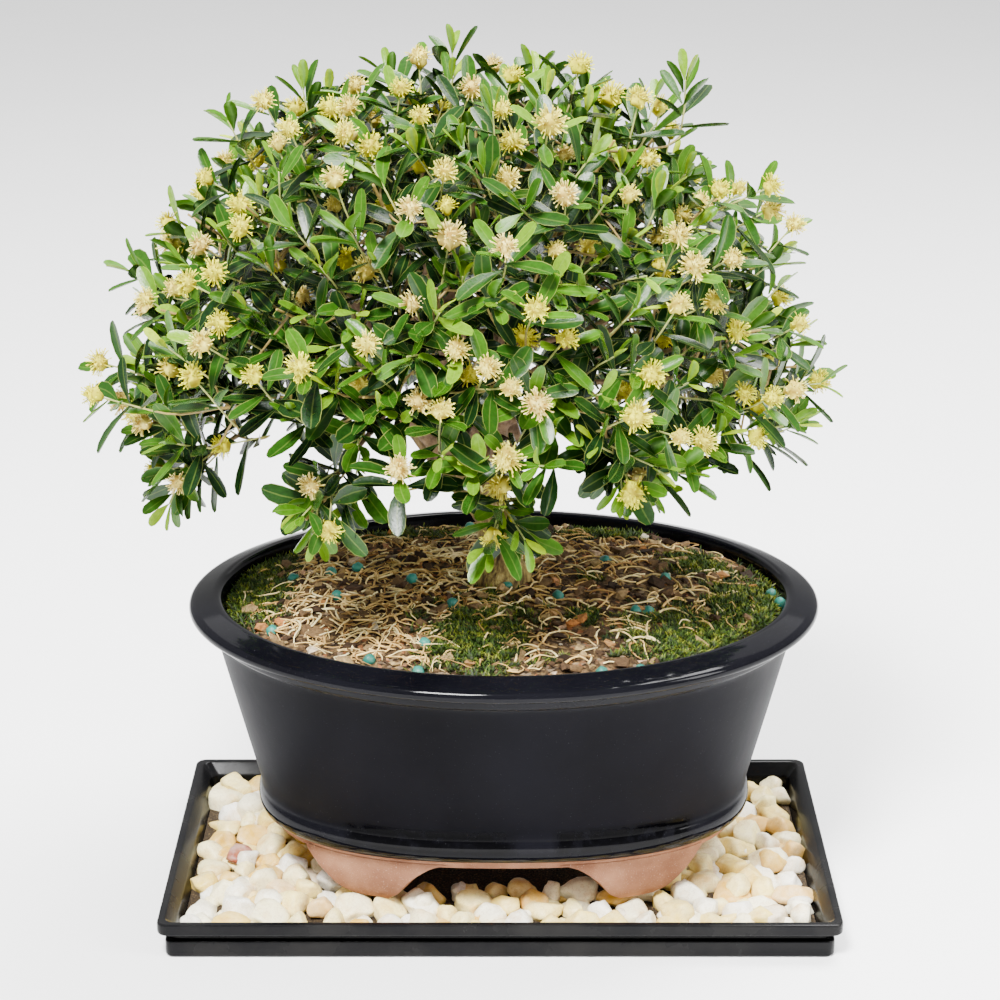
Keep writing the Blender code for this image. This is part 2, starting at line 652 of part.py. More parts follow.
class Spray:
    """One leafy stem: its stalk, a small core and the leaves and blooms that stand out of it."""

    def __init__(self, name, twig, start, end, wood):
        self.name = name
        self.wood = wood
        self.axis = (end - start).normalized()
        self.twig = twig
        self.start = start + twig * 1.5 * CLEARANCE
        self.core = start.lerp(end, 0.5)
        self.core_radius = CORE_RADIUS
        self.trees = []
        self.mesh = bmesh.new()

    def crosses(self, tree):
        return any(tree.overlap(other) for other in self.trees)

    def blocked(self, tree, others):
        """Whether a new piece would cross the wood, another spray or this spray's own leaves."""
        if any(tree.overlap(rod) for rod in self.wood):
            return True
        if any(tree.overlap(grown) for grown in self.trees[self.own:]):
            return True
        return any(other.crosses(tree) for other in others)

    def add_core(self):
        bmesh.ops.create_icosphere(self.mesh, subdivisions=1, radius=1.0)
        side, up = frame_along(self.axis)
        for vert in self.mesh.verts:
            point = vert.co * self.core_radius
            vert.co = self.core + self.axis * point.z * CORE_STRETCH + side * point.x + up * point.y
        for end in (-1, 1):
            middle = self.core + self.axis * end * self.core_radius * (CORE_STRETCH - 1)
            self.trees.append(ball_margin(middle, self.core_radius * 1.06 + CLEARANCE))
        self.trees.append(rod_margin(self.start, self.core, 2 * TWIG_RADIUS))
        self.own = len(self.trees)
        away = (self.start - self.core).normalized()
        face = max(self.mesh.faces, key=lambda item: item.normal.dot(away))
        side, up = frame_along(self.twig)
        ring = [
            self.start + TWIG_RADIUS * (math.cos(turn) * side + math.sin(turn) * up)
            for turn in (0, 2 * math.pi / 3, 4 * math.pi / 3)
        ]
        if (ring[1] - ring[0]).cross(ring[2] - ring[0]).dot(away) < 0:
            ring.reverse()
        grow_from(self.mesh, face, [ring])

    def open_faces(self):
        """Faces of the core that look forward or sideways, the foremost first."""
        self.mesh.normal_update()
        rows = []
        for face in self.mesh.faces:
            middle = face.calc_center_median()
            if (middle - self.core).length > self.core_radius * CORE_STRETCH:
                continue
            lean = (middle - self.core).normalized().dot(self.axis)
            if lean > -0.45:
                rows.append((lean, face))
        rows.sort(key=lambda row: -row[0])
        return [face for lean, face in rows]

    def add_leaf(self, face, draw, others):
        middle = face.calc_center_median()
        normal = (middle - self.core).normalized()
        rise = Vector((0, 0, 0.25))
        for attempt in range(LEAF_TRIES):
            spread = Vector((draw.uniform(-1, 1), draw.uniform(-1, 1), draw.uniform(-1, 1)))
            along = (normal + self.axis * 0.35 + rise + spread * 0.25).normalized()
            face_up = (Vector((0, 0, 0.5)) + self.axis * 1.3 + spread * 0.5).normalized()
            across = along.cross(face_up).normalized()
            length = LEAF_LENGTH * draw.uniform(0.88, 1.12) * (1 - 0.03 * attempt)
            root = middle - normal * 0.2 * MM
            shape = (root, along, across, length)
            tree = leaf_margin(*shape, LEAF_WIDTH + 3 * CLEARANCE, LEAF_THICKNESS + 3 * CLEARANCE)
            if self.blocked(tree, others):
                continue
            self.trees.append(tree)
            rings, tip = leaf_rings(*shape, LEAF_WIDTH, LEAF_THICKNESS)
            grow_from(self.mesh, face, self.facing(rings, along), tip)
            return True
        return False

    def facing(self, rings, along):
        """Rings listed so that they turn the same way round as the face they grow from."""
        ring = rings[0]
        turn = (ring[1] - ring[0]).cross(ring[2] - ring[0]).dot(along)
        return rings if turn > 0 else [tuple(reversed(points)) for points in rings]

    def add_bloom(self, face, others):
        """A head on a short neck, with a zigzag edge of six points and a raised middle."""
        middle = face.calc_center_median()
        normal = (middle - self.core).normalized()
        centre = middle + normal * BLOOM_RADIUS * 0.75
        tree = ball_margin(centre, BLOOM_RADIUS + 2 * CLEARANCE)
        if self.blocked(tree, others):
            return False
        self.trees.append(tree)
        side, up = frame_along(normal)
        neck = []
        edge = []
        for step in range(6):
            turn = math.pi * step / 3
            outward = math.cos(turn) * side + math.sin(turn) * up
            rise = 1.0 * MM if step % 2 else -0.6 * MM
            edge.append(centre + outward * BLOOM_RADIUS + normal * rise)
            if step % 2 == 0:
                neck.append(middle + normal * 0.9 * MM + outward * 1.5 * MM)
        if (neck[1] - neck[0]).cross(neck[2] - neck[0]).dot(normal) < 0:
            neck.reverse()
            edge = [edge[0]] + edge[:0:-1]
            neck = [neck[2], neck[0], neck[1]]
        self.grow_bloom(face, neck, edge, centre + normal * BLOOM_RADIUS * 0.7)
        return True

    def grow_bloom(self, face, neck, edge, top):
        mesh = self.mesh
        corners = list(face.verts)
        mesh.faces.remove(face)
        first = min(range(3), key=lambda turn: sum(
            (corners[index].co - neck[(index + turn) % 3]).length for index in range(3)
        ))
        neck_verts = [mesh.verts.new(point) for point in neck]
        turned = neck_verts[first:] + neck_verts[:first]
        for index in range(3):
            after = (index + 1) % 3
            mesh.faces.new((corners[index], corners[after], turned[after], turned[index]))
        rim = [mesh.verts.new(point) for point in edge]
        point = mesh.verts.new(top)
        for index in range(3):
            after = (index + 1) % 3
            left, between, right = rim[2 * index], rim[2 * index + 1], rim[(2 * index + 2) % 6]
            mesh.faces.new((neck_verts[index], between, left))
            mesh.faces.new((neck_verts[index], neck_verts[after], between))
            mesh.faces.new((neck_verts[after], right, between))
        for index in range(6):
            mesh.faces.new((rim[index], rim[(index + 1) % 6], point))

    def add_growth(self, draw, others):
        for index, face in enumerate(self.open_faces()[:GROWTHS_PER_SPRAY]):
            if index in BLOOM_FACES and self.add_bloom(face, others):
                continue
            self.add_leaf(face, draw, others)

    def finish(self, foliage):
        return solid(self.name, self.mesh, foliage)


def trunk_path():
    """Middle line and radius of the trunk, from the foot in the soil to the fork."""
    root = Vector((TRUNK_X, TRUNK_Y, 0))
    levels = (
        (TRUNK_PLUG_Z, 0, 0, TRUNK_PLUG_RADIUS),
        (SOIL_EDGE_Z + SOIL_MOUND + 0.4 * MM, 0, 0, TRUNK_PLUG_RADIUS),
        (112 * MM, -0.6 * MM, 0.4 * MM, 6.4 * MM),
        (124 * MM, -3.0 * MM, 2.0 * MM, 5.6 * MM),
        (138 * MM, -6.0 * MM, 3.0 * MM, 5.0 * MM),
        (TRUNK_TOP_Z, -9.0 * MM, 4.0 * MM, 3.8 * MM),
    )
    return [root + Vector((x, y, z)) for z, x, y, radius in levels], [level[3] for level in levels]


def limb_lines():
    """Middle lines of the main limbs, which leave the trunk in turn and rise as they spread."""
    path, radii = trunk_path()
    limbs = []
    for index in range(LIMB_COUNT):
        turn = LIMB_TURN * index + LIMB_FIRST_TURN
        steep = 0.30 + 1.6 * (index / (LIMB_COUNT - 1)) ** 2
        direction = Vector((math.cos(turn), math.sin(turn), steep)).normalized()
        origin = path[2].lerp(path[5], 0.25 + 0.72 * index / (LIMB_COUNT - 1))
        end = CANOPY_CENTRE + direction * canopy_reach(direction) * LIMB_SHARE
        middle = origin.lerp(end, 0.5) - Vector((0, 0, LIMB_SAG))
        limbs.append((origin, middle, end))
    return limbs


def twig_lines(lines, limbs):
    """Where each spray's twig leaves its limb: one limb's twigs leave it one after another."""
    owners = [
        min(range(len(limbs)), key=lambda index: (limbs[index][2] - start).length)
        for start, end in lines
    ]
    origins = []
    for number, (start, end) in enumerate(lines):
        owner = owners[number]
        mates = [other for other in range(len(lines)) if owners[other] == owner]
        mates.sort(key=lambda other: (limbs[owner][1] - lines[other][0]).length)
        share = (mates.index(number) + 1) / len(mates)
        origins.append(limbs[owner][1].lerp(limbs[owner][2], 0.1 + 0.82 * share))
    return origins


def make_trunk(lines, limbs, origins):
    """The fluted trunk, its main limbs and a twig to the foot of each spray, grown as one."""
    wood = bark()
    path, radii = trunk_path()
    trunk = tube("trunk", path, radii, TRUNK_SIDES, wood, flutes=0.10)
    pieces = []
    for index, limb in enumerate(limbs):
        radii = [LIMB_RADIUS, LIMB_RADIUS * 0.85, LIMB_RADIUS * 0.65]
        pieces.append(tube(f"limb_{index}", limb, radii, 5, wood))
    for index, (start, end) in enumerate(lines):
        radii = [TWIG_RADIUS * 1.1, TWIG_RADIUS]
        pieces.append(tube(f"twig_{index}", [origins[index], start], radii, 3, wood))
    boolean_with(trunk, pieces, "UNION")
    smooth(trunk, 50)
    return trunk


def make_sprays(lines, limbs, origins):
    foliage = leaf_green()
    draw = random.Random(SEED)
    wood = [rod_margin(first, second, LIMB_RADIUS + 2 * CLEARANCE)
            for limb in limbs for first, second in zip(limb, limb[1:])]
    wood += [rod_margin(origin, start, 1.6 * TWIG_RADIUS) for origin, (start, end) in zip(origins, lines)]
    sprays = []
    for index, (start, end) in enumerate(lines):
        twig = (start - origins[index]).normalized()
        sprays.append(Spray(f"spray_{index + 1:02d}", twig, start, end, wood))
    for spray in sprays:
        nearest = min((spray.core - other.core).length for other in sprays if other is not spray)
        spray.core_radius = min(CORE_RADIUS, nearest / 2 - CLEARANCE)
        spray.add_core()
    for spray in sprays:
        others = [
            other for other in sprays
            if other is not spray and (other.core - spray.core).length < NEIGHBOUR_REACH
        ]
        spray.add_growth(draw, others)
    return [spray.finish(foliage) for spray in sprays]


def main():
    clear_scene()
    make_tray()
    make_pebble_bed()
    make_pot()
    make_screen(-1, "drain_screen_left")
    make_screen(1, "drain_screen_right")
    make_soil()
    lines = spray_lines()
    limbs = limb_lines()
    origins = twig_lines(lines, limbs)
    make_trunk(lines, limbs, origins)
    make_sprays(lines, limbs, origins)


main()
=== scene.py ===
# %% [markdown]
# # A boxwood bonsai in flower
# This lesson dresses a small tree in an oval pot. The plain solids of the tree, its pot and its tray
# are loaded first. Each is then kept with a better finish, or replaced by a finer piece of the same form.

# %% Load the plain solids
import json
import math
import random

import bmesh
import bpy
from mathutils import Matrix, Vector, noise

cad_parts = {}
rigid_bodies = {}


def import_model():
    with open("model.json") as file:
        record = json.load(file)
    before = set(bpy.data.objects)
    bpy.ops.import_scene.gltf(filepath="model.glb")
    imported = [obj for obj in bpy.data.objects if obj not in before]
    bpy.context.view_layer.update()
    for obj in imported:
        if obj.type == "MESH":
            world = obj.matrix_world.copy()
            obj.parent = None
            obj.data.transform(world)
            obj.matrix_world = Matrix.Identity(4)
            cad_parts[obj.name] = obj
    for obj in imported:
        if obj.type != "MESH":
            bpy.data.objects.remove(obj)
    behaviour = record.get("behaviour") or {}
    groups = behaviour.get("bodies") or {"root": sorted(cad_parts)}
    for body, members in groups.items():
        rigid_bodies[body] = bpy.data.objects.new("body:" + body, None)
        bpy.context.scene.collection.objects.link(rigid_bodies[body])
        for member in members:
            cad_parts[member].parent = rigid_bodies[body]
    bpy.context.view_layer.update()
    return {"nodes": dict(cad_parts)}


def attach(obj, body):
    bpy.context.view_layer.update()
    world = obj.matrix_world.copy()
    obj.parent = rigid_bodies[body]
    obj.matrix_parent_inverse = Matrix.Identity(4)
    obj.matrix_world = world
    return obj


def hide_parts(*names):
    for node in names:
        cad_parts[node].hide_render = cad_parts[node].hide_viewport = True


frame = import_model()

MM = 0.001

# %% [markdown]
# ## Helpers for node trees
# Materials and Geometry Nodes are both trees of nodes. Adding a node takes several lines in plain
# Python, so a small class does it in one: it makes the node, sets it and joins its sockets. Two more
# classes build on it, one for a finish and one for a rule that sets out or grows many small parts.


# %% A node tree that is built line by line
class Wiring:
    """A node tree being built: one line adds a node, sets it and joins it to the others."""

    def __init__(self, tree):
        self.tree = tree

    def add(self, kind, inputs=None, **settings):
        node = self.tree.nodes.new(kind)
        for label, value in settings.items():
            setattr(node, label, value)
        for label, value in (inputs or {}).items():
            if isinstance(label, str):
                socket = next(item for item in node.inputs if item.name == label and item.enabled)
            else:
                socket = node.inputs[label]
            if isinstance(value, bpy.types.NodeSocket):
                self.tree.links.new(value, socket)
            else:
                socket.default_value = (*value, 1.0) if socket.type == "RGBA" else value
        return next(item for item in node.outputs if item.enabled)

    def times(self, first, second):
        return self.add("ShaderNodeMath", {0: first, 1: second}, operation="MULTIPLY")


# %% A finish for a surface
class Finish(Wiring):
    """A material being mixed. Its patterns follow the object's own coordinates, in metres."""

    def __init__(self, name, **sockets):
        self.material = bpy.data.materials.new(name)
        self.material.use_nodes = True
        super().__init__(self.material.node_tree)
        self.shader = self.tree.nodes["Principled BSDF"]
        for label, value in sockets.items():
            self.shader.inputs[label.replace("_", " ")].default_value = value
        self.place = self.add("ShaderNodeTexCoord").node.outputs["Object"]

    def noise(self, scale, detail=4.0, rough=0.55, where=None):
        inputs = {"Vector": where or self.place, "Scale": scale, "Detail": detail, "Roughness": rough}
        return self.add("ShaderNodeTexNoise", inputs)

    def stretched(self, x, y, z):
        """Object coordinates scaled on each axis, for streaks and grain."""
        return self.add("ShaderNodeMapping", {"Vector": self.place, "Scale": (x, y, z)})

    def ramp(self, factor, *stops):
        socket = self.add("ShaderNodeValToRGB", {"Fac": factor})
        band = socket.node.color_ramp
        while len(band.elements) < len(stops):
            band.elements.new(0.5)
        for element, (position, tone) in zip(band.elements, stops):
            element.position = position
            element.color = (*tone, 1.0) if isinstance(tone, tuple) else (tone, tone, tone, 1.0)
        return socket

    def mix(self, factor, first, second, blend="MIX"):
        inputs = {"Factor": factor, "A": first, "B": second}
        return self.add("ShaderNodeMix", inputs, data_type="RGBA", blend_type=blend)

    def sum(self, operation, first, second=0.0):
        return self.add("ShaderNodeMath", {0: first, 1: second}, operation=operation)

    def split(self, vector, axis):
        return self.add("ShaderNodeSeparateXYZ", {"Vector": vector}).node.outputs[axis]

    def mark(self, name, part="Fac"):
        """An attribute that the piece carries, such as a leaf's age."""
        return self.add("ShaderNodeAttribute", attribute_name=name).node.outputs[part]

    def painted_reflections(self, places, band):
        """Painted dark reflection patches on the front; each place has a middle and a half width."""
        x, y = self.split(self.place, "X"), self.split(self.place, "Y")
        total = None
        for middle, half in places:
            away = self.sum("ABSOLUTE", self.sum("SUBTRACT", x, middle))
            inside = self.ramp(self.sum("DIVIDE", away, half), (0.86, 1.0), (1.0, 0.0))
            total = self.sum("MAXIMUM", total, inside) if total else inside
        front = self.sum("LESS_THAN", y, 0.0)
        ragged = self.ramp(self.noise(240.0, 4.0), (0.36, 0.5), (0.50, 1.0))
        return self.times(self.times(total, band), self.times(front, ragged))

    def bump(self, height, depth):
        inputs = {"Height": height, "Distance": depth, "Strength": 1.0}
        self.tree.links.new(self.add("ShaderNodeBump", inputs), self.shader.inputs["Normal"])

    def paint(self, **sockets):
        for label, value in sockets.items():
            self.tree.links.new(value, self.shader.inputs[label.replace("_", " ")])

    def shaded(self, tone, pattern, *stops):
        """A tone made darker and lighter by a pattern."""
        return self.mix(1.0, tone, self.ramp(pattern, *stops), "MULTIPLY")

    def done(self, tone, relief, depth):
        """Colour the surface, give it its fine relief and hand the material over."""
        self.paint(Base_Color=tone)
        self.bump(relief, depth)
        return self.material


# %% A growth rule in Geometry Nodes
class Growth(Wiring):
    """A Geometry Nodes tree with named inputs, run on a carrier and turned into a plain mesh."""

    def __init__(self, name, inputs):
        super().__init__(bpy.data.node_groups.new(name, "GeometryNodeTree"))
        sides = self.tree.interface
        sides.new_socket("Geometry", in_out="INPUT", socket_type="NodeSocketGeometry")
        self.keys = {}
        for label, kind in inputs.items():
            socket = sides.new_socket(label, in_out="INPUT", socket_type="NodeSocket" + kind)
            self.keys[label] = socket.identifier
        sides.new_socket("Geometry", in_out="OUTPUT", socket_type="NodeSocketGeometry")
        self.given = self.tree.nodes.new("NodeGroupInput").outputs
        self.result = self.tree.nodes.new("NodeGroupOutput").inputs[0]

    def mark(self, name, kind="FLOAT"):
        return self.add("GeometryNodeInputNamedAttribute", {"Name": name}, data_type=kind)

    def random(self, low, high, seed):
        inputs = {"Min": low, "Max": high, "Seed": seed}
        return self.add("FunctionNodeRandomValue", inputs, data_type="FLOAT")

    def turn(self):
        return self.add("FunctionNodeEulerToRotation", {"Euler": self.mark("turn", "FLOAT_VECTOR")})

    def tube(self, sides, radius):
        """Every line of the carrier as a tube, as thick at each point as that point says."""
        line = self.add("GeometryNodeMeshToCurve", {"Mesh": self.given["Geometry"]})
        size = {"Resolution": sides, "Radius": radius}
        ring = self.add("GeometryNodeCurvePrimitiveCircle", size, mode="RADIUS")
        return self.add("GeometryNodeCurveToMesh", {
            "Curve": line, "Profile Curve": ring, "Scale": self.mark("thick"), "Fill Caps": True
        })

    def placed(self, points, forms, turn, size, more=None):
        """One of the forms on each point, turned and sized."""
        shapes = self.add("GeometryNodeCollectionInfo", {
            "Collection": self.given[forms], "Separate Children": True, "Reset Children": True
        })
        return self.add("GeometryNodeInstanceOnPoints", {
            "Points": points, "Instance": shapes, "Pick Instance": True,
            "Rotation": turn, "Scale": size, **(more or {})
        })

    def realised(self, geometry, material):
        plain = self.add("GeometryNodeRealizeInstances", {"Geometry": geometry})
        return self.add("GeometryNodeSetMaterial", {"Geometry": plain, "Material": material})

    def close(self, geometry):
        self.tree.links.new(geometry, self.result)

    def harvest(self, name, carrier, keep=("blade", "tint"), **settings):
        """Run the tree on the carrier and keep only the finished mesh."""
        modifier = carrier.modifiers.new("growth", "NODES")
        modifier.node_group = self.tree
        for label, value in settings.items():
            modifier[self.keys[label.replace("_", " ")]] = value
        mesh = baked(carrier)
        for attribute in list(mesh.attributes):
            used = attribute.is_required or attribute.name.startswith((".", "sharp", "material"))
            if not used and attribute.name not in keep:
                mesh.attributes.remove(attribute)
        mesh.shade_smooth()
        bpy.data.objects.remove(carrier, do_unlink=True)
        return shown(name, mesh)

# %% [markdown]
# ## Helpers for pieces
# Every piece is a mesh that is built at its place and handed over with what it rides on. Most are skins
# over rows of corners, so a few helpers for those come first.

# %% Making and handing over pieces
def shown(name, mesh):
    mesh.name = name
    piece = bpy.data.objects.new(name, mesh)
    bpy.context.scene.collection.objects.link(piece)
    return piece


def baked(piece):
    """The piece's mesh after its modifiers, which are then taken off."""
    graph = bpy.context.evaluated_depsgraph_get()
    mesh = bpy.data.meshes.new_from_object(piece.evaluated_get(graph))
    piece.modifiers.clear()
    return mesh


def from_bmesh(name, mesh, material, crease=40):
    """A finished object whose faces point outwards, smooth except at its creases."""
    bmesh.ops.recalc_face_normals(mesh, faces=mesh.faces)
    data = bpy.data.meshes.new(name)
    mesh.to_mesh(data)
    mesh.free()
    data.materials.append(material)
    data.shade_smooth()
    data.set_sharp_from_angle(angle=math.radians(crease))
    return shown(name, data)


def hand_over(piece, slot, *nodes):
    """Attach the piece to what it rides on and hide the solids it stands for; the slot is not used."""
    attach(piece, "root")
    if nodes:
        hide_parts(*nodes)
    triangles = sum(len(face.vertices) - 2 for face in piece.data.polygons)
    print(f"{piece.name}: {triangles} triangles")
    return piece


# %% Helpers for shapes
def clamp(value, low=0.0, high=1.0):
    return max(low, min(high, value))


def thrown(draw):
    """A random direction with a random length."""
    return Vector((draw.gauss(0, 1), draw.gauss(0, 1), draw.gauss(0, 1)))


def spoke(turn, side, up):
    return math.cos(turn) * side + math.sin(turn) * up


def skin(mesh, rows, tip=None):
    """Faces between equal rows of corners, closed by a face or by the faces of a tip."""
    sides = [(index, (index + 1) % len(rows[0])) for index in range(len(rows[0]))]
    for lower, upper in zip(rows, rows[1:]):
        for index, after in sides:
            mesh.faces.new((lower[index], lower[after], upper[after], upper[index]))
    if tip:
        for index, after in sides:
            mesh.faces.new((rows[-1][index], rows[-1][after], tip))
    mesh.faces.new(rows[0][::-1])
    if not tip:
        mesh.faces.new(rows[-1])


def add_loft(mesh, rings):
    skin(mesh, [[mesh.verts.new(point) for point in ring] for ring in rings])


def rounded(profile, radius, steps=3):
    """A profile with each inner corner replaced by a small curve."""
    points = [Vector(point) for point in profile]
    line = [points[0]]
    for before, corner, after in zip(points, points[1:], points[2:]):
        reach = min(radius, (corner - before).length / 2, (after - corner).length / 2)
        start = corner + (before - corner).normalized() * reach
        end = corner + (after - corner).normalized() * reach
        for step in range(steps + 1):
            share = step / steps
            line.append(start.lerp(corner, share).lerp(corner.lerp(end, share), share))
    return line + [points[-1]]


def smooth_path(points, parts=6):
    """The same path with a rounded course between its points."""
    padded = [points[0]] + list(points) + [points[-1]]
    path = []
    for before, start, end, after in zip(padded, padded[1:], padded[2:], padded[3:]):
        for part in range(parts):
            share = part / parts
            path.append(0.5 * (
                2 * start + (end - before) * share
                + (2 * before - 5 * start + 4 * end - after) * share ** 2
                + (3 * start - before - 3 * end + after) * share ** 3
            ))
    return path + [points[-1]]


def joined(piece, others, operation):
    """Join other solids to this one, or cut them from it."""
    group = bpy.data.collections.new("joined")
    for other in others:
        bpy.context.scene.collection.objects.unlink(other)
        group.objects.link(other)
    bpy.context.scene.collection.children.link(group)
    change = piece.modifiers.new("join", "BOOLEAN")
    change.operation = operation
    change.operand_type = "COLLECTION"
    change.collection = group
    change.solver = "EXACT"
    piece.data = baked(piece)
    for other in others:
        bpy.data.objects.remove(other, do_unlink=True)
    bpy.data.collections.remove(group)

# %% [markdown]
# ## Camera
# The photograph looks down on the pot a little, so the rim shows as an ellipse and the soil can be
# seen. A fairly long lens about 0.86 m away gives the same weak perspective.

# %% Camera
PITCH = math.radians(19.24)
DISTANCE = 0.863
AIM_HEIGHT = 0.1312
LENS = 97.4
PICTURE = 1000

camera_data = bpy.data.cameras.new("camera")
camera_data.lens = LENS
camera_data.sensor_width = 36.0
camera = bpy.data.objects.new("camera", camera_data)
camera.location = (0.0, -DISTANCE * math.cos(PITCH), AIM_HEIGHT + DISTANCE * math.sin(PITCH))
camera.rotation_euler = (math.pi / 2 - PITCH, 0.0, 0.0)
bpy.context.scene.collection.objects.link(camera)
bpy.context.scene.camera = camera
CAMERA_BACK = camera.rotation_euler.to_matrix() @ Vector((0, 0, 1))


def seen_at(column, row, height):
    """The point at a height that the photograph shows at this pixel."""
    focal = PICTURE * LENS / 36.0
    ray = Vector(((column - PICTURE / 2) / focal, (PICTURE / 2 - row) / focal, -1.0))
    ray.rotate(camera.rotation_euler)
    return camera.location + ray * ((height - camera.location.z) / ray.z)


def seen_from(point):
    """The pixel at which the photograph shows a point, and how far off it is."""
    ray = point - camera.location
    ray.rotate(camera.rotation_euler.to_matrix().transposed())
    focal = PICTURE * LENS / 36.0
    return PICTURE / 2 - focal * ray.x / ray.z, PICTURE / 2 + focal * ray.y / ray.z, -ray.z


print("camera at", [round(value, 3) for value in camera.location])

# %% [markdown]
# ## Floor and light
# A photograph for a shop is lit from all sides by soft white light, with one larger lamp above that
# draws the thin highlight on the rim. A pale sky, a wide floor and four soft lamps do the same.

# %% Floor and light
FLOOR_HALF = 6.0

floor_mesh = bmesh.new()
bmesh.ops.create_grid(floor_mesh, x_segments=1, y_segments=1, size=FLOOR_HALF)
floor_finish = Finish("floor_paper", Roughness=0.9)
floor_finish.paint(Base_Color=floor_finish.ramp(
    floor_finish.noise(3.0), (0.4, (0.95, 0.95, 0.95)), (0.6, (0.97, 0.97, 0.97))
))
floor = from_bmesh("floor", floor_mesh, floor_finish.material)
floor.data.transform(Matrix.Translation((0, 0, -0.2 * MM)))

world = bpy.data.worlds.new("studio")
world.use_nodes = True
sky = world.node_tree.nodes["Background"].inputs
sky["Color"].default_value = (1.0, 1.0, 1.0, 1.0)
sky["Strength"].default_value = 0.8
bpy.context.scene.world = world


def add_lamp(name, place, aim, size, power):
    data = bpy.data.lights.new(name, "AREA")
    data.shape = "RECTANGLE"
    data.size, data.size_y = size
    data.energy = power
    lamp = bpy.data.objects.new(name, data)
    lamp.location = place
    lamp.rotation_euler = (Vector(aim) - Vector(place)).to_track_quat("-Z", "Y").to_euler()
    bpy.context.scene.collection.objects.link(lamp)


add_lamp("key_lamp", (-0.30, -0.75, 1.25), (0, 0, 0.12), (0.35, 0.35), 82.0)
add_lamp("top_lamp", (0.35, 0.35, 1.2), (0, 0, 0.12), (0.7, 0.5), 40.0)
add_lamp("side_lamp", (1.1, -0.5, 0.7), (0, 0, 0.1), (0.3, 0.7), 15.0)
add_lamp("floor_lamp", (0, 2.8, 2.2), (0, 2.6, 0), (3.5, 2.0), 24.0)

# %% [markdown]
# ## The tray
# A humidity tray is a shallow moulding of black plastic. Its lip runs round the top, over a dark
# groove that gives fingers a hold. One outline is repeated at each height of a profile, which keeps
# the corners round and even; a box with bevelled edges would not give the groove.

# %% Tray sizes
TRAY_LENGTH, TRAY_DEPTH, TRAY_HEIGHT = 215.0 * MM, 124.0 * MM, 12.3 * MM
TRAY_LIP_DROP, TRAY_LIP_WIDTH = 4.0 * MM, 2.6 * MM
TRAY_GROOVE, TRAY_GROOVE_INSET = 2.8 * MM, 3.9 * MM
TRAY_BODY_INSET = 2.2 * MM
TRAY_SHOULDER_INSET, TRAY_SHOULDER_Z = 5.4 * MM, 8.6 * MM
TRAY_FLOOR, TRAY_FLOOR_INSET = 2.0 * MM, 7.4 * MM
TRAY_CORNER, TRAY_INNER_CORNER = 3.6 * MM, 3.0 * MM
TRAY_CORNER_STEPS = 10


def tray_ring(inset, z):
    corner = max(TRAY_CORNER - inset * 0.6, TRAY_INNER_CORNER)
    length, depth = TRAY_LENGTH - 2 * inset, TRAY_DEPTH - 2 * inset
    ring = []
    for quarter in range(4):
        side_x = 1 if quarter in (0, 3) else -1
        side_y = 1 if quarter in (0, 1) else -1
        middle = Vector((side_x * (length / 2 - corner), side_y * (depth / 2 - corner), z))
        for step in range(TRAY_CORNER_STEPS + 1):
            angle = math.pi / 2 * (quarter + step / TRAY_CORNER_STEPS)
            ring.append(middle + corner * Vector((math.cos(angle), math.sin(angle), 0)))
    return ring


print("tray:", round(TRAY_LENGTH / MM), "by", round(TRAY_DEPTH / MM), "by", TRAY_HEIGHT / MM, "mm")

# %% [markdown]
# ## Black plastic
# Moulded plastic is nearly black, shiny inside and a little dusty on the lip. Soft noise makes the
# dust, and a ramp by height darkens the groove, which light hardly reaches.

# %% Tray finish
def tray_plastic():
    """Black moulded plastic, shiny inside and a little dusty on the lip."""
    finish = Finish("tray_plastic", Specular_IOR_Level=0.09)
    dust = finish.ramp(finish.noise(45.0, 6.0), (0.42, 0.0), (0.72, 1.0))
    speckle = finish.ramp(finish.noise(2600.0, 2.0), (0.55, 0.0), (0.75, 0.5))
    both = finish.mix(0.5, dust, speckle, "ADD")
    height = finish.sum("DIVIDE", finish.split(finish.place, "Z"), TRAY_HEIGHT)
    groove = finish.ramp(height, (0.42, 0.0), (0.44, 1.0), (0.66, 1.0), (0.68, 0.0))
    skin = finish.mix(both, (0.004, 0.004, 0.0045), (0.011, 0.0105, 0.010))
    finish.paint(
        Base_Color=finish.mix(groove, skin, (0.001, 0.001, 0.001)),
        Roughness=finish.ramp(dust, (0.0, 0.20), (1.0, 0.38)),
    )
    finish.bump(finish.noise(1500.0, 3.0), 0.02 * MM)
    return finish.material


# %% Make the tray
lip_bottom = TRAY_HEIGHT - TRAY_LIP_DROP
body_top = lip_bottom - TRAY_GROOVE
edge = 0.4 * MM
tray_profile = rounded((
    (TRAY_BODY_INSET + edge, 0.0),
    (TRAY_BODY_INSET, edge),
    (TRAY_BODY_INSET, body_top - edge),
    (TRAY_BODY_INSET + edge, body_top),
    (TRAY_GROOVE_INSET, body_top),
    (TRAY_GROOVE_INSET, lip_bottom - edge),
    (edge, lip_bottom),
    (0.0, lip_bottom + edge),
    (0.0, TRAY_HEIGHT - edge),
    (edge, TRAY_HEIGHT),
    (TRAY_LIP_WIDTH - edge, TRAY_HEIGHT),
    (TRAY_LIP_WIDTH, TRAY_HEIGHT - edge),
    (TRAY_SHOULDER_INSET, TRAY_SHOULDER_Z),
    (TRAY_FLOOR_INSET, TRAY_FLOOR + edge),
    (TRAY_FLOOR_INSET + 2 * edge, TRAY_FLOOR),
), 0.5 * MM)
tray_mesh = bmesh.new()
add_loft(tray_mesh, [tray_ring(inset, z) for inset, z in tray_profile])
tray = from_bmesh("tray_shell", tray_mesh, tray_plastic())
hand_over(tray, "tray_plastic", "tray")

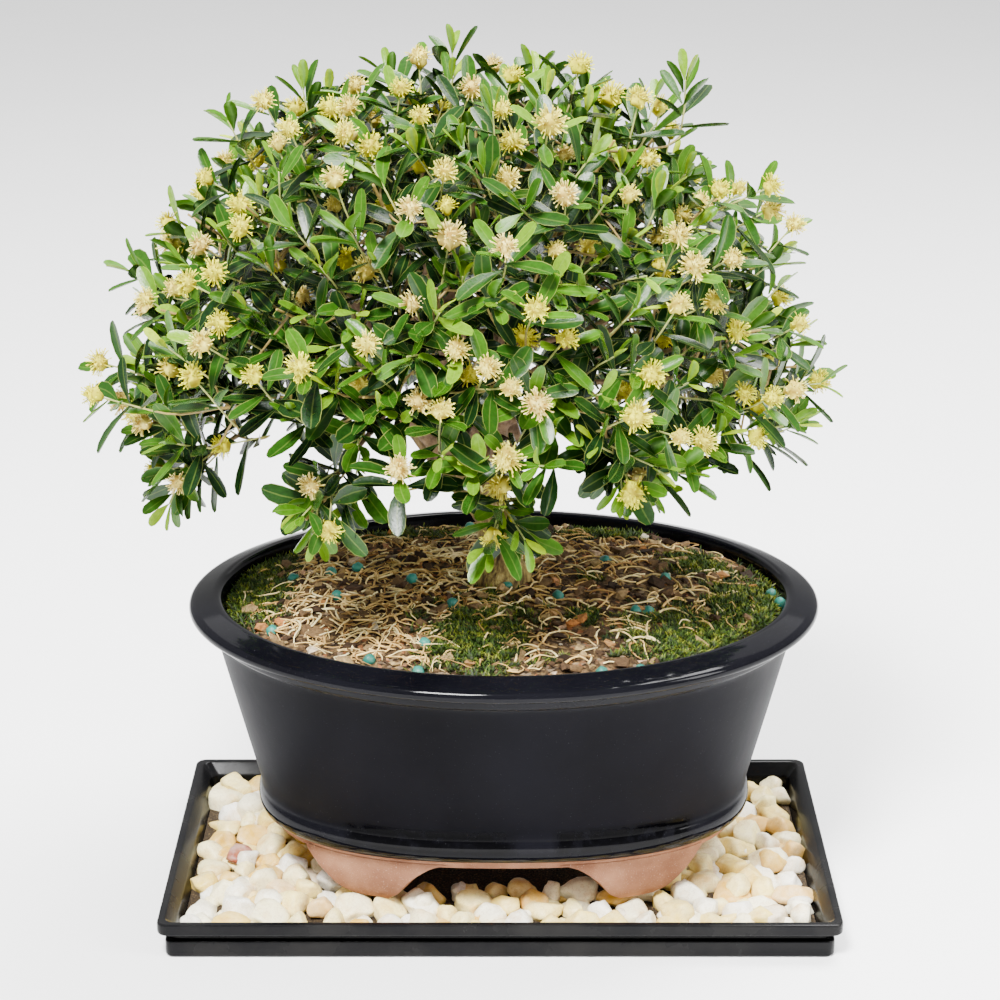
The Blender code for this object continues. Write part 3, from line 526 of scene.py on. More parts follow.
# %% [markdown]
# ## The pot
# The pot was cast in a mould: an oval wall with a rolled rim, a belt round the waist, and four cloud
# feet. The oval is nearly an ellipse at the top and squarer at the base. Each height of the profile
# gives one ring, so the wall, rim and belt come from one short list, and the feet are joined to it.

# %% Pot sizes
POT_X, POT_Y = 1.2 * MM, 1.0 * MM
POT_SEGMENTS = 144
FOOT_Z, BASE_Z, GLAZE_EDGE_Z = 11.0 * MM, 24.8 * MM, 27.6 * MM
FLOOR_Z, CREASE_Z = 32.0 * MM, 36.0 * MM
FASCIA_Z, WALL_TOP_Z, CROWN_Z = 90.3 * MM, 92.5 * MM, 101.2 * MM
WALL_BOTTOM_X, WALL_BOTTOM_Y = 79.0 * MM, 52.0 * MM
WALL_TOP_X, WALL_TOP_Y = 94.0 * MM, 75.0 * MM
WALL_THICKNESS = 6.5 * MM
RIM_OVERHANG, RIM_INNER = 7.5 * MM, 3.0 * MM
OVAL_POWER_TOP, OVAL_POWER_BOTTOM = 2.0, 2.4
FOOT_START, FOOT_END = math.radians(36.5), math.radians(80)
FOOT_INSET, FOOT_THICKNESS = 2.6 * MM, 14.0 * MM
HOLE_SPACING, HOLE_RADIUS = 64.0 * MM, 7.0 * MM


def pot_size(z):
    """Half sizes and squareness of the outer wall at a height."""
    share = clamp((z - CREASE_Z) / (WALL_TOP_Z - CREASE_Z))
    half_x = WALL_BOTTOM_X + share * (WALL_TOP_X - WALL_BOTTOM_X)
    half_y = WALL_BOTTOM_Y + share * (WALL_TOP_Y - WALL_BOTTOM_Y)
    return half_x, half_y, OVAL_POWER_BOTTOM + share * (OVAL_POWER_TOP - OVAL_POWER_BOTTOM)


def oval_point(angle, offset, z):
    """A point on the pot's oval at a height, moved out from the wall by an offset."""
    half_x, half_y, power = pot_size(z)
    cosine, sine = math.cos(angle), math.sin(angle)
    x = (half_x + offset) * math.copysign(abs(cosine) ** (2 / power), cosine)
    y = (half_y + offset) * math.copysign(abs(sine) ** (2 / power), sine)
    return Vector((POT_X + x, POT_Y + y, z))


def oval_ring(offset, z):
    """Evenly walked points of the oval, so that its blunt ends are as smooth as its sides."""
    return [oval_point(2 * math.pi * step / POT_SEGMENTS, offset, z) for step in range(POT_SEGMENTS)]


print("rim:", round(2 * (WALL_TOP_X + RIM_OVERHANG) / MM), "mm long")
# %% [markdown]
# ## The glaze
# The pot was dipped in blue-black glaze, and its base was left bare. One material holds both: the
# height says where the glaze stops, so no seam has to be modelled and the edge can wander.

# %% Pot finish
# Middles and half widths of the painted dark reflection patches on the front of the pot.
PAINTED_REFLECTION_PATCHES = ((-22 * MM, 28 * MM), (39 * MM, 23 * MM))


def pot_glaze():
    """Blue-black glaze that thins into soft streaks on the wall and stops above the raw clay."""
    finish = Finish("pot_glaze", Specular_IOR_Level=0.03, Coat_Roughness=0.06)
    height = finish.split(finish.place, "Z")
    wander = finish.times(finish.noise(90.0, 3.0), 1.6 * MM)
    level = finish.sum("ADD", height, wander)
    bare = finish.ramp(
        finish.times(level, 10.0), (0.2835, 1.0), (0.2865, 0.0)
    )
    streaks = finish.noise(26.0, 5.0, where=finish.stretched(1.0, 1.0, 0.12))
    cloud = finish.noise(14.0, 3.0)
    soft = finish.mix(0.5, streaks, cloud)
    glaze = finish.ramp(
        soft, (0.36, (0.0016, 0.0016, 0.0026)), (0.64, (0.0044, 0.0044, 0.0064))
    )
    # Painted reflection: dark, glossier patches on the front above the belt, where the glaze mirrors dark
    # surroundings.
    painted_reflection = finish.painted_reflections(PAINTED_REFLECTION_PATCHES, finish.ramp(
        finish.times(height, 10.0), (0.305, 0.0), (0.325, 1.0), (0.385, 1.0), (0.41, 0.0)
    ))
    glaze = finish.mix(painted_reflection, glaze, (0.0006, 0.0006, 0.0009))
    pits = finish.ramp(finish.noise(1900.0, 2.0), (0.70, 0.0), (0.76, 1.0))
    glaze = finish.mix(finish.times(pits, 0.07), glaze, (0.35, 0.35, 0.38))
    clay_tone = finish.ramp(
        finish.noise(60.0, 6.0), (0.35, (0.20, 0.088, 0.050)), (0.68, (0.36, 0.180, 0.105))
    )
    grains = finish.ramp(finish.noise(2400.0, 2.0), (0.62, 0.0), (0.72, 1.0))
    clay = finish.mix(finish.times(grains, 0.45), clay_tone, (0.56, 0.40, 0.30))
    wall_gloss = finish.ramp(soft, (0.35, 0.40), (0.65, 0.52))
    belt = finish.ramp(
        finish.times(height, 10.0), (0.28, 0.0), (0.30, 1.0), (0.335, 1.0), (0.37, 0.0),
        (0.88, 0.0), (0.94, 1.0)
    )
    gloss = finish.mix(finish.sum("MAXIMUM", belt, painted_reflection), wall_gloss, (0.10, 0.10, 0.10))
    finish.paint(
        Base_Color=finish.mix(bare, glaze, clay),
        Roughness=finish.mix(bare, gloss, (0.85, 0.85, 0.85)),
        Coat_Weight=finish.times(finish.mix(bare, belt, (0.0, 0.0, 0.0)), 0.15),
    )
    ripple = finish.times(finish.noise(180.0, 3.0), 0.25)
    sand = finish.times(finish.noise(2200.0, 3.0), bare)
    finish.bump(finish.sum("ADD", ripple, sand), 0.18 * MM)
    return finish.material


# %% Pot body
pot_profile = rounded((
    (-3.2 * MM, BASE_Z),
    (-2.4 * MM, GLAZE_EDGE_Z - 0.3 * MM),
    (-1.2 * MM, GLAZE_EDGE_Z),
    (1.0 * MM, GLAZE_EDGE_Z + 2.0 * MM),
    (1.8 * MM, CREASE_Z - 4.0 * MM),
    (1.5 * MM, CREASE_Z - 1.6 * MM),
    (0.3 * MM, CREASE_Z + 0.8 * MM),
    (0.0, CREASE_Z + 3.5 * MM),
    (0.0, FASCIA_Z),
    (1.8 * MM, FASCIA_Z + 0.5 * MM),
    (2.4 * MM, WALL_TOP_Z + 2.4 * MM),
    (RIM_OVERHANG - 0.8 * MM, WALL_TOP_Z + 2.9 * MM),
    (RIM_OVERHANG, WALL_TOP_Z + 4.0 * MM),
    (RIM_OVERHANG - 0.2 * MM, CROWN_Z - 3.0 * MM),
    (RIM_OVERHANG - 1.6 * MM, CROWN_Z - 2.0 * MM),
    (-RIM_INNER + 2.0 * MM, CROWN_Z),
    (-RIM_INNER, CROWN_Z - 0.6 * MM),
    (-RIM_INNER - 0.7 * MM, CROWN_Z - 2.6 * MM),
    (-WALL_THICKNESS, WALL_TOP_Z - 3.0 * MM),
    (-WALL_THICKNESS, CREASE_Z),
    (-WALL_THICKNESS - 2.5 * MM, FLOOR_Z),
), 1.1 * MM)


def subdivided(profile, longest):
    """The same profile with long straight stretches cut up."""
    line = [profile[0]]
    for before, after in zip(profile, profile[1:]):
        parts = max(1, math.ceil((after - before).length / longest))
        line += [before.lerp(after, part / parts) for part in range(1, parts + 1)]
    return line


pot_mesh = bmesh.new()
add_loft(pot_mesh, [oval_ring(offset, z) for offset, z in subdivided(pot_profile, 9 * MM)])
glaze_and_clay = pot_glaze()
pot = from_bmesh("pot_body", pot_mesh, glaze_and_clay)

# %% Cloud feet and drainage holes
FOOT_SHAPE = ((0.0, 1.0, 1.0, 0.0), (0.14, 0.80, 0.94, 0.1), (0.5, 0.56, 0.70, 0.6),
              (0.82, 0.42, 0.44, 1.6), (1.0, 0.26, 0.22, 3.2))
FOOT_STEPS = 18


def make_foot(side_x, side_y):
    """A lobe that hangs from the base, hollow on its inner side, with a rounded tip."""
    top = BASE_Z + 1.0 * MM
    middle, spread = (FOOT_START + FOOT_END) / 2, (FOOT_END - FOOT_START) / 2
    rings = []
    for drop, inward, outward, tuck in smooth_path([Vector(level) for level in FOOT_SHAPE], 4):
        z = top - drop * (top - FOOT_Z)
        first, last = middle - spread * outward, middle + spread * inward
        turns = [first + (last - first) * step / FOOT_STEPS for step in range(FOOT_STEPS + 1)]
        outer = [oval_point(turn, -FOOT_INSET - tuck * MM, z) for turn in turns]
        inner = [oval_point(turn, -FOOT_INSET - FOOT_THICKNESS + tuck * MM, z) for turn in turns]
        rings.append([
            Vector((POT_X + side_x * (point.x - POT_X), POT_Y + side_y * (point.y - POT_Y), point.z))
            for point in outer + inner[::-1]
        ])
    mesh = bmesh.new()
    add_loft(mesh, rings)
    return from_bmesh("foot", mesh, glaze_and_clay)


def make_drain(side):
    mesh = bmesh.new()
    middle = Vector((POT_X + side * HOLE_SPACING / 2, POT_Y, 0))
    turns = [math.pi * step / 16 for step in range(32)]
    add_loft(mesh, [
        [middle + Vector((HOLE_RADIUS * math.cos(turn), HOLE_RADIUS * math.sin(turn), z))
         for turn in turns]
        for z in (BASE_Z - 5 * MM, FLOOR_Z + 5 * MM)
    ])
    return from_bmesh("drain", mesh, glaze_and_clay)


joined(pot, [make_foot(side_x, side_y) for side_x in (-1, 1) for side_y in (-1, 1)], "UNION")
joined(pot, [make_drain(side) for side in (-1, 1)], "DIFFERENCE")
pot.data.shade_smooth()
pot.data.set_sharp_from_angle(angle=math.radians(38))
hand_over(pot, "pot_glaze", "pot")

# %% [markdown]
# ## Small forms that are repeated
# Pebbles, chips, leaves and flower heads are each made a few times, as small hidden forms. Geometry
# Nodes then sets them out. Only their place, turn, size and tint differ, so a few forms are enough.


# %% Carriers and forms
def make_forms(name, makers):
    """A group of hidden forms, in order, that a growth rule can pick from."""
    group = bpy.data.collections.new(name)
    for index, mesh in enumerate(makers):
        data = bpy.data.meshes.new(f"{name}_{index:02d}")
        mesh.to_mesh(data)
        mesh.free()
        data.shade_smooth()
        data.set_sharp_from_angle(angle=math.radians(60))
        group.objects.link(bpy.data.objects.new(f"{name}_{index:02d}", data))
    return group


def clear_forms(group):
    for item in list(group.objects):
        bpy.data.objects.remove(item, do_unlink=True)
    bpy.data.collections.remove(group)


FIELD_KINDS = {"turn": "FLOAT_VECTOR", "size": "FLOAT_VECTOR", "form": "INT", "kind": "INT",
               "tint": "FLOAT", "thick": "FLOAT"}


def make_carrier(name, points, edges=()):
    """A mesh of bare points, each with its turn, size, form and tint, for a growth rule to read."""
    mesh = bpy.data.meshes.new(name)
    mesh.from_pydata([point["place"] for point in points], list(edges), [])
    for field, kind in FIELD_KINDS.items():
        if field not in points[0]:
            continue
        layer = mesh.attributes.new(field, kind, "POINT")
        if kind == "FLOAT_VECTOR":
            layer.data.foreach_set("vector", [value for point in points for value in point[field]])
        else:
            layer.data.foreach_set("value", [point[field] for point in points])
    return shown(name, mesh)


# %% The rule that sets out pebbles, chips and pellets
FULL_TURN = 6.28


def tumbled(draw, tilt):
    """A random turn for a part that lies nearly flat."""
    return draw.uniform(-tilt, tilt), draw.uniform(-tilt, tilt), draw.uniform(0, FULL_TURN)


def scatter_rule():
    rule = Growth("set_out", {"Forms": "Collection", "Size": "Float", "Finish": "Material"})
    scaled = {0: rule.mark("size", "FLOAT_VECTOR"), "Scale": rule.given["Size"]}
    size = rule.add("ShaderNodeVectorMath", scaled, operation="SCALE")
    placed = rule.placed(rule.given["Geometry"], "Forms", rule.turn(), size,
                         {"Instance Index": rule.mark("form", "INT")})
    rule.close(rule.realised(placed, rule.given["Finish"]))
    return rule


set_out = scatter_rule()
print("inputs of the rule:", ", ".join(set_out.keys))


def scattered(name, makers, points, finish, size=1.0):
    """The forms set out on the points as one mesh."""
    forms = make_forms(name, makers)
    piece = set_out.harvest(name, make_carrier(name + "_places", points),
                            Forms=forms, Size=size, Finish=finish)
    clear_forms(forms)
    return piece

# %% [markdown]
# ## The pebbles
# The pot stands on loose polished pebbles, white to honey yellow, with one reddish stone. They are
# packed by pushing apart the ones that overlap, which is how they settle when the tray is shaken.
# Under each foot they lie lower, because the pot has pressed them down.

# %% Pebble sizes
PEBBLE_LAYERS = (
    (195, 4.0 * MM, 5.8 * MM, 6.8 * MM, 9.0 * MM),
    (220, 4.6 * MM, 7.8 * MM, 9.2 * MM, 12.2 * MM),
    (60, 4.0 * MM, 6.8 * MM, 11.8 * MM, 13.4 * MM),
)
UNDER_POT_X, UNDER_POT_Y = 46 * MM, 28 * MM
PUSH_ROUNDS = 60
PEBBLE_FORMS, FLAT_DEPTH = 16, 0.64
CLOSENESS, WALL_SHARE = 0.82, 0.90
WALL_DIP = 1.0 * MM
GRIT_TOP, GRIT_GAP = 4.6 * MM, 0.3 * MM
FOOT_REACH = 7.0 * MM
RED_PEBBLE = seen_at(233, 838, 12 * MM)


def pebble_mesh(draw):
    """A tumbled stone: a ball with a few worn flats and soft dents."""
    mesh = bmesh.new()
    bmesh.ops.create_icosphere(mesh, subdivisions=3, radius=1.0)
    offset = Vector((draw.uniform(-9, 9), draw.uniform(-9, 9), draw.uniform(-9, 9)))
    stretch = Vector((draw.uniform(0.95, 1.35), draw.uniform(0.74, 1.0), draw.uniform(0.75, 1.0)))
    flats = [thrown(draw).normalized() for _ in range(8)]
    for vert in mesh.verts:
        point = vert.co.copy()
        for flat in flats:
            over = point.dot(flat) - FLAT_DEPTH
            if over > 0:
                point -= flat * over * 0.90
        point *= 1.0 + 0.20 * noise.noise(point * 1.3 + offset) + 0.06 * noise.noise(point * 4.0 + offset)
        vert.co = point * stretch
    wide = max(vert.co.xy.length for vert in mesh.verts)
    high = max(abs(vert.co.z) for vert in mesh.verts)
    for vert in mesh.verts:
        vert.co *= Vector((1.04 / wide, 1.04 / wide, 0.9 / high))
    bmesh.ops.recalc_face_normals(mesh, faces=mesh.faces)
    return mesh


# %% Pack the pebbles
def tray_reach(radius, z):
    """How far from the middle a pebble's own middle may lie at a height."""
    share = max(0.0, (TRAY_SHOULDER_Z - z) / (TRAY_SHOULDER_Z - TRAY_FLOOR))
    inset = TRAY_SHOULDER_INSET + share * (TRAY_FLOOR_INSET - TRAY_SHOULDER_INSET)
    return TRAY_LENGTH / 2 - inset - radius, TRAY_DEPTH / 2 - inset - radius


def packed(count, smallest, largest, z, draw):
    """Places in one layer, pushed apart until few overlap."""
    stones = []
    reach_x, reach_y = tray_reach(smallest, z)
    across = round(math.sqrt(count * reach_x / reach_y))
    rows = count / across
    for index in range(count):
        column, row = index % across + draw.uniform(0.1, 0.9), index // across + draw.uniform(0.1, 0.9)
        stones.append([reach_x * (2 * column / across - 1), reach_y * (2 * row / rows - 1),
                       draw.uniform(smallest, largest)])
    for _ in range(PUSH_ROUNDS):
        for index, stone in enumerate(stones):
            for other in stones[:index]:
                gap_x, gap_y = stone[0] - other[0], stone[1] - other[1]
                apart = math.hypot(gap_x, gap_y) or 1e-6
                overlap = (stone[2] + other[2]) * CLOSENESS - apart
                if overlap > 0:
                    push = overlap / apart / 2
                    stone[0] += gap_x * push
                    stone[1] += gap_y * push
                    other[0] -= gap_x * push
                    other[1] -= gap_y * push
        for stone in stones:
            reach_x, reach_y = tray_reach(stone[2] * WALL_SHARE, z)
            stone[0] = clamp(stone[0], -reach_x, reach_x)
            stone[1] = clamp(stone[1], -reach_y, reach_y)
    return stones


def foot_room(x, y):
    """How high a pebble may rise here: the feet have pressed the ones beneath them down."""
    side_x, side_y = abs(x - POT_X), abs(y - POT_Y)
    best = FOOT_Z + 40 * MM
    middle, spread = (FOOT_START + FOOT_END) / 2, (FOOT_END - FOOT_START) / 2
    for drop, inward, outward, tuck in FOOT_SHAPE[1:]:
        for share in (-outward, 0.0, inward):
            for inset in (FOOT_INSET + tuck * MM, FOOT_INSET + FOOT_THICKNESS - tuck * MM):
                spot = oval_point(middle + spread * share, -inset, BASE_Z)
                away = math.hypot(spot.x - POT_X - side_x, spot.y - POT_Y - side_y)
                if away < FOOT_REACH:
                    best = min(best, BASE_Z - drop * (BASE_Z - FOOT_Z) - 0.3 * MM)
    return best

# %% [markdown]
# ## Polished stone
# One material serves all the pebbles. Each carries a tint from 0 to 1, which picks its colour on a
# ramp, and bands, stains and veins of noise keep two stones of one tint apart.

# %% Pebble finish
def pebble_stone():
    """Polished quartz: each stone has its own tint, with cloudy bands and a few darker veins."""
    finish = Finish("pebble_stone", Roughness=0.42, Specular_IOR_Level=0.4, Subsurface_Weight=0.08,
                    Subsurface_Radius=(1.0, 0.8, 0.6), Subsurface_Scale=2 * MM)
    tint = finish.mark("tint")
    stone = finish.ramp(
        tint, (0.0, (0.96, 0.93, 0.83)), (0.34, (0.94, 0.87, 0.60)),
        (0.52, (0.92, 0.79, 0.34)), (0.70, (0.86, 0.64, 0.13)),
        (0.87, (0.68, 0.37, 0.02)), (0.94, (0.82, 0.78, 0.66)), (0.99, (0.24, 0.05, 0.025))
    )
    warped = finish.noise(210.0, 6.0, 0.65)
    cloudy = finish.ramp(warped, (0.38, 0.0), (0.70, 1.0))
    stone = finish.mix(finish.times(cloudy, 0.30), stone, (0.97, 0.92, 0.78))
    stain = finish.ramp(finish.noise(95.0, 6.0, 0.6), (0.52, 0.0), (0.70, 0.65))
    stone = finish.mix(stain, stone, (0.62, 0.34, 0.05))
    vein = finish.ramp(finish.noise(330.0, 5.0, 0.7), (0.47, 0.0), (0.50, 1.0), (0.53, 0.0))
    stone = finish.mix(finish.times(vein, 0.34), stone, (0.34, 0.19, 0.07))
    return finish.done(stone, finish.noise(900.0, 5.0), 0.15 * MM)


# %% Set out the pebbles
def pebble_points():
    draw = random.Random(21)
    points = []
    for layer, (count, smallest, largest, lowest, highest) in enumerate(PEBBLE_LAYERS):
        for x, y, radius in packed(count, smallest, largest, lowest, draw):
            top = draw.uniform(lowest, highest)
            edge_gap = min(TRAY_LENGTH / 2 - abs(x), TRAY_DEPTH / 2 - abs(y)) - radius
            back = 1.0 if y > -30 * MM else 0.3
            top -= WALL_DIP * back * max(0.0, 1 - edge_gap / (14 * MM))
            top = min(top, foot_room(x, y))
            # No stones under the pot, so the dark grit shows there as painted shade beneath it.
            if abs(x - POT_X) < UNDER_POT_X and abs(y - POT_Y) < UNDER_POT_Y:
                continue
            if layer == 2 and (top < lowest - WALL_DIP or edge_gap < 5 * MM):
                continue
            tint = draw.random() ** 0.85 * 0.94
            if (Vector((x, y)) - RED_PEBBLE.xy).length < 6 * MM and layer:
                tint = 1.0
            height = min(radius * 0.9, (top - TRAY_FLOOR) / 2)
            points.append({
                "place": (x, y, top - height),
                "turn": tumbled(draw, 0.25),
                "size": (radius, radius, height / 0.9),
                "form": draw.randrange(PEBBLE_FORMS),
                "tint": tint,
            })
    return points


def grit_shade_finish():
    """Sand between the stones, painted very dark as shade between them, with a few paler grains."""
    finish = Finish("tray_grit", Roughness=0.9, Specular_IOR_Level=0.3)
    sand = finish.ramp(
        finish.noise(1500.0, 5.0), (0.38, (0.010, 0.006, 0.003)), (0.58, (0.045, 0.028, 0.012)),
        (0.74, (0.22, 0.15, 0.07))
    )
    return finish.done(sand, finish.noise(1700.0, 5.0), 0.5 * MM)


grit_mesh = bmesh.new()
add_loft(grit_mesh, [
    tray_ring(TRAY_LENGTH / 2 - tray_reach(GRIT_GAP, z)[0], z) for z in (TRAY_FLOOR + GRIT_GAP, GRIT_TOP)
])
grit = from_bmesh("tray_grit", grit_mesh, grit_shade_finish())
hand_over(grit, "pebble_stone", "pebble_bed")

stone_draw = random.Random(4)
pebbles = scattered("pebbles", [pebble_mesh(stone_draw) for _ in range(PEBBLE_FORMS)],
                    pebble_points(), pebble_stone())
hand_over(pebbles, "pebble_stone", "pebble_bed")

# %% [markdown]
# ## The soil
# The soil is mounded: it meets the rim at the edge and rises towards the trunk. A grid of rings
# follows that rule, and layers of noise give it crumbs. The bits that lie on it are added later.

# %% Soil sizes and height
SCREEN_THICKNESS = 1.0 * MM
CLEARANCE = 0.3 * MM
SOIL_BOTTOM_Z = FLOOR_Z + SCREEN_THICKNESS + 2 * CLEARANCE
SOIL_EDGE_Z = 97.4 * MM
SOIL_MOUND = 6.2 * MM
SOIL_ROUGHNESS = 0.8 * MM
TRUNK_X, TRUNK_Y = 0.5 * MM, 1.0 * MM
TRUNK_PLUG_RADIUS, TRUNK_PLUG_Z, TRUNK_TOP_Z = 8.2 * MM, 86.0 * MM, 150.0 * MM
SOIL_RINGS = 56


def soil_share(point):
    """How far out a place lies, from 0 at the middle to 1 where the soil meets the pot."""
    edge_point = oval_point(math.atan2(point.y - POT_Y, point.x - POT_X), -5.4 * MM, SOIL_EDGE_Z)
    reach = math.hypot(edge_point.x - POT_X, edge_point.y - POT_Y)
    return min(1.0, math.hypot(point.x - POT_X, point.y - POT_Y) / reach)


def soil_height(point):
    """The plain mound with its lumps, as the solid has it."""
    share = soil_share(point)
    lumps = noise.noise(Vector((point.x, point.y, 0)) / (9 * MM))
    return SOIL_EDGE_Z + SOIL_MOUND * (1 - share ** 2.2) + SOIL_ROUGHNESS * lumps * (1 - share ** 6)


def crumbs(point):
    flat = Vector((point.x, point.y, 0.0))
    fine = 0.50 * noise.noise(flat / (3.1 * MM)) + 0.35 * noise.noise(flat / (1.5 * MM))
    return fine * MM

# %% [markdown]
# ## Peat and grit
# Potting soil is dark when damp, with pale and rusty crumbs. Cells of random colour pick the crumbs,
# which is lighter than modelling each one.

# %% Soil finish
def soil_mix():
    """Dark peat and bark, with paler grit and the odd rusty crumb."""
    finish = Finish("soil_mix", Roughness=0.95, Specular_IOR_Level=0.2)
    base = finish.ramp(
        finish.noise(420.0, 8.0, 0.65), (0.36, (0.014, 0.008, 0.004)),
        (0.50, (0.070, 0.040, 0.018)), (0.66, (0.28, 0.18, 0.075))
    )
    cells = finish.add("ShaderNodeTexVoronoi", {"Vector": finish.place, "Scale": 700.0}).node
    cell = cells.outputs["Color"]
    pale = finish.ramp(finish.split(cell, "X"), (0.84, 0.0), (0.90, 1.0))
    rust = finish.ramp(finish.split(cell, "Y"), (0.90, 0.0), (0.94, 1.0))
    base = finish.mix(finish.times(pale, 0.40), base, (0.42, 0.31, 0.20))
    base = finish.mix(finish.times(rust, 0.6), base, (0.36, 0.13, 0.05))
    return finish.done(base, finish.noise(1300.0, 6.0, 0.7), 0.9 * MM)


# %% Make the soil
def make_soil():
    gap = CLEARANCE + 0.1 * MM
    rings = [
        oval_ring(-WALL_THICKNESS - 3.2 * MM - gap, SOIL_BOTTOM_Z),
        oval_ring(-WALL_THICKNESS - gap, CREASE_Z + 0.6 * MM),
        oval_ring(-WALL_THICKNESS - gap, WALL_TOP_Z - 3.0 * MM),
        oval_ring(-5.6 * MM - gap, SOIL_EDGE_Z - 1.0 * MM),
    ]
    trunk = Vector((TRUNK_X, TRUNK_Y, 0))
    hole = TRUNK_PLUG_RADIUS + CLEARANCE
    outline = [Vector((point.x, point.y, 0)) for point in oval_ring(-5.6 * MM - gap, SOIL_EDGE_Z)]
    for step in range(SOIL_RINGS + 1):
        share = 0.992 * (1 - step / SOIL_RINGS)
        ring = []
        for flat in outline:
            inner = trunk + (flat - trunk).normalized() * hole
            place = inner.lerp(flat, share)
            fade = min(1.0, 8 * (1 - share))
            ring.append(Vector((place.x, place.y, soil_height(place) + crumbs(place) * fade)))
        rings.append(ring)
    rings.append([Vector((point.x, point.y, TRUNK_PLUG_Z - CLEARANCE)) for point in rings[-1]])
    mesh = bmesh.new()
    add_loft(mesh, rings)
    return from_bmesh("soil_fill", mesh, soil_mix(), 80)


soil = hand_over(make_soil(), "soil_mix", "soil")

# %% [markdown]
# ## Chips, grit and fertiliser pellets on the soil
# Bark chips, small stones and blue-green pellets lie on the surface, some half sunk. Each chip is the
# hull of a few random points, which gives flat broken faces with few corners.

# %% Moss patches, as boxes seen in the photograph
MOSS_SEEN = ((223, 538, 293, 627), (425, 606, 535, 674), (567, 615, 604, 630), (618, 608, 785, 662),
             (661, 549, 732, 581), (581, 581, 600, 595), (240, 545, 300, 590),
             (700, 575, 800, 640), (735, 570, 790, 610))
SOIL_LEVEL = 100.5 * MM
MOSS_COVERS, MOSSY = 0.8, 0.3
CHIP_LEVEL = 101 * MM


def moss_patches():
    patches = []
    for left, top, right, bottom in MOSS_SEEN:
        middle = seen_at((left + right) / 2, (top + bottom) / 2, SOIL_LEVEL)
        half_x = (seen_at(right, (top + bottom) / 2, SOIL_LEVEL) - middle).length
        half_y = (seen_at((left + right) / 2, bottom, SOIL_LEVEL) - middle).length
        patches.append((middle, half_x, half_y))
    patches.append((Vector((-30 * MM, 52 * MM, 0)), 22 * MM, 9 * MM))
    patches.append((Vector((34 * MM, 55 * MM, 0)), 16 * MM, 8 * MM))
    return patches


def mossiness(point):
    """1 in the heart of a patch and 0 outside it, with a ragged edge."""
    flat = Vector((point.x, point.y, 0))
    ragged = 0.75 * noise.noise(flat / (6 * MM)) + 0.55 * noise.noise(flat / (2.2 * MM))
    best = 0.0
    for middle, half_x, half_y in patches:
        away = math.hypot((point.x - middle.x) / half_x, (point.y - middle.y) / half_y)
        best = max(best, 1.05 - away + ragged)
    return clamp(best * 1.8)


patches = moss_patches()
print("moss patches:", len(patches))

# %% [markdown]
# ## Bark, stone and resin
# Both kinds of crumb take their tone from a tint that each carries, with fine noise over it.

# %% Chip and pellet finishes
CHIP_COUNT = 1700
CHIP_FORMS, CHIP_CORNERS = 12, 11
CHIPS_SEEN = ((375, 628, 3.6, 1.0), (345, 655, 4.2, 0.78), (318, 632, 4.6, 0.62), (620, 600, 4.4, 0.70),
              (250, 605, 4.0, 0.74), (655, 545, 3.0, 0.84), (422, 574, 3.2, 0.90), (620, 657, 4.2, 0.40))
PELLET_DIAMETER = 3.9 * MM
PELLET_FORMS = 3
PELLETS_SEEN = ((507, 597), (337, 600), (331, 575), (358, 573), (272, 626), (418, 665), (558, 604),
                (636, 615), (648, 615), (605, 567), (771, 587), (780, 595), (602, 665), (641, 662),
                (656, 662), (527, 579), (369, 655), (412, 588))


def chip_finish():
    """Bark, clay grit and pale stone, each chip in its own tone."""
    finish = Finish("chips", Roughness=0.85, Specular_IOR_Level=0.25)
    tone = finish.ramp(
        finish.mark("tint"), (0.0, (0.022, 0.012, 0.006)), (0.34, (0.068, 0.036, 0.016)),
        (0.62, (0.17, 0.100, 0.042)), (0.84, (0.36, 0.245, 0.100)),
        (0.92, (0.40, 0.14, 0.03)), (1.0, (0.62, 0.54, 0.38))
    )
    tone = finish.shaded(tone, finish.noise(1100.0, 5.0), (0.35, 0.55), (0.70, 1.25))
    return finish.done(tone, finish.noise(1500.0, 5.0), 0.25 * MM)


def pellet_finish():
    """Coated fertiliser: blue-green resin, dusty where it has begun to wear."""
    finish = Finish("pellet_coat", Roughness=0.45, Specular_IOR_Level=0.4)
    worn = finish.ramp(finish.noise(700.0, 5.0), (0.45, 0.0), (0.70, 0.6))
    tone = finish.ramp(
        finish.mark("tint"), (0.0, (0.006, 0.10, 0.075)), (1.0, (0.02, 0.26, 0.20))
    )
    tone = finish.mix(worn, tone, (0.09, 0.20, 0.13))
    return finish.done(tone, finish.noise(1200.0, 4.0), 0.15 * MM)


# %% Chip form and places
def chip_mesh(draw):
    mesh = bmesh.new()
    for _ in range(CHIP_CORNERS):
        point = thrown(draw).normalized()
        mesh.verts.new((point.x, point.y * draw.uniform(0.6, 0.9), point.z * draw.uniform(0.35, 0.6)))
    bmesh.ops.convex_hull(mesh, input=mesh.verts)
    bmesh.ops.recalc_face_normals(mesh, faces=mesh.faces)
    return mesh


def on_soil(draw, limit=0.97):
    """A random place on the soil, clear of the trunk."""
    while True:
        turn, reach = draw.uniform(0, 2 * math.pi), math.sqrt(draw.random()) * limit
        edge_point = oval_point(turn, -5.8 * MM, SOIL_EDGE_Z)
        middle = Vector((POT_X, POT_Y, 0))
        place = middle + (Vector((edge_point.x, edge_point.y, 0)) - middle) * reach
        if (place - Vector((TRUNK_X, TRUNK_Y, 0))).length > 10 * MM:
            return place


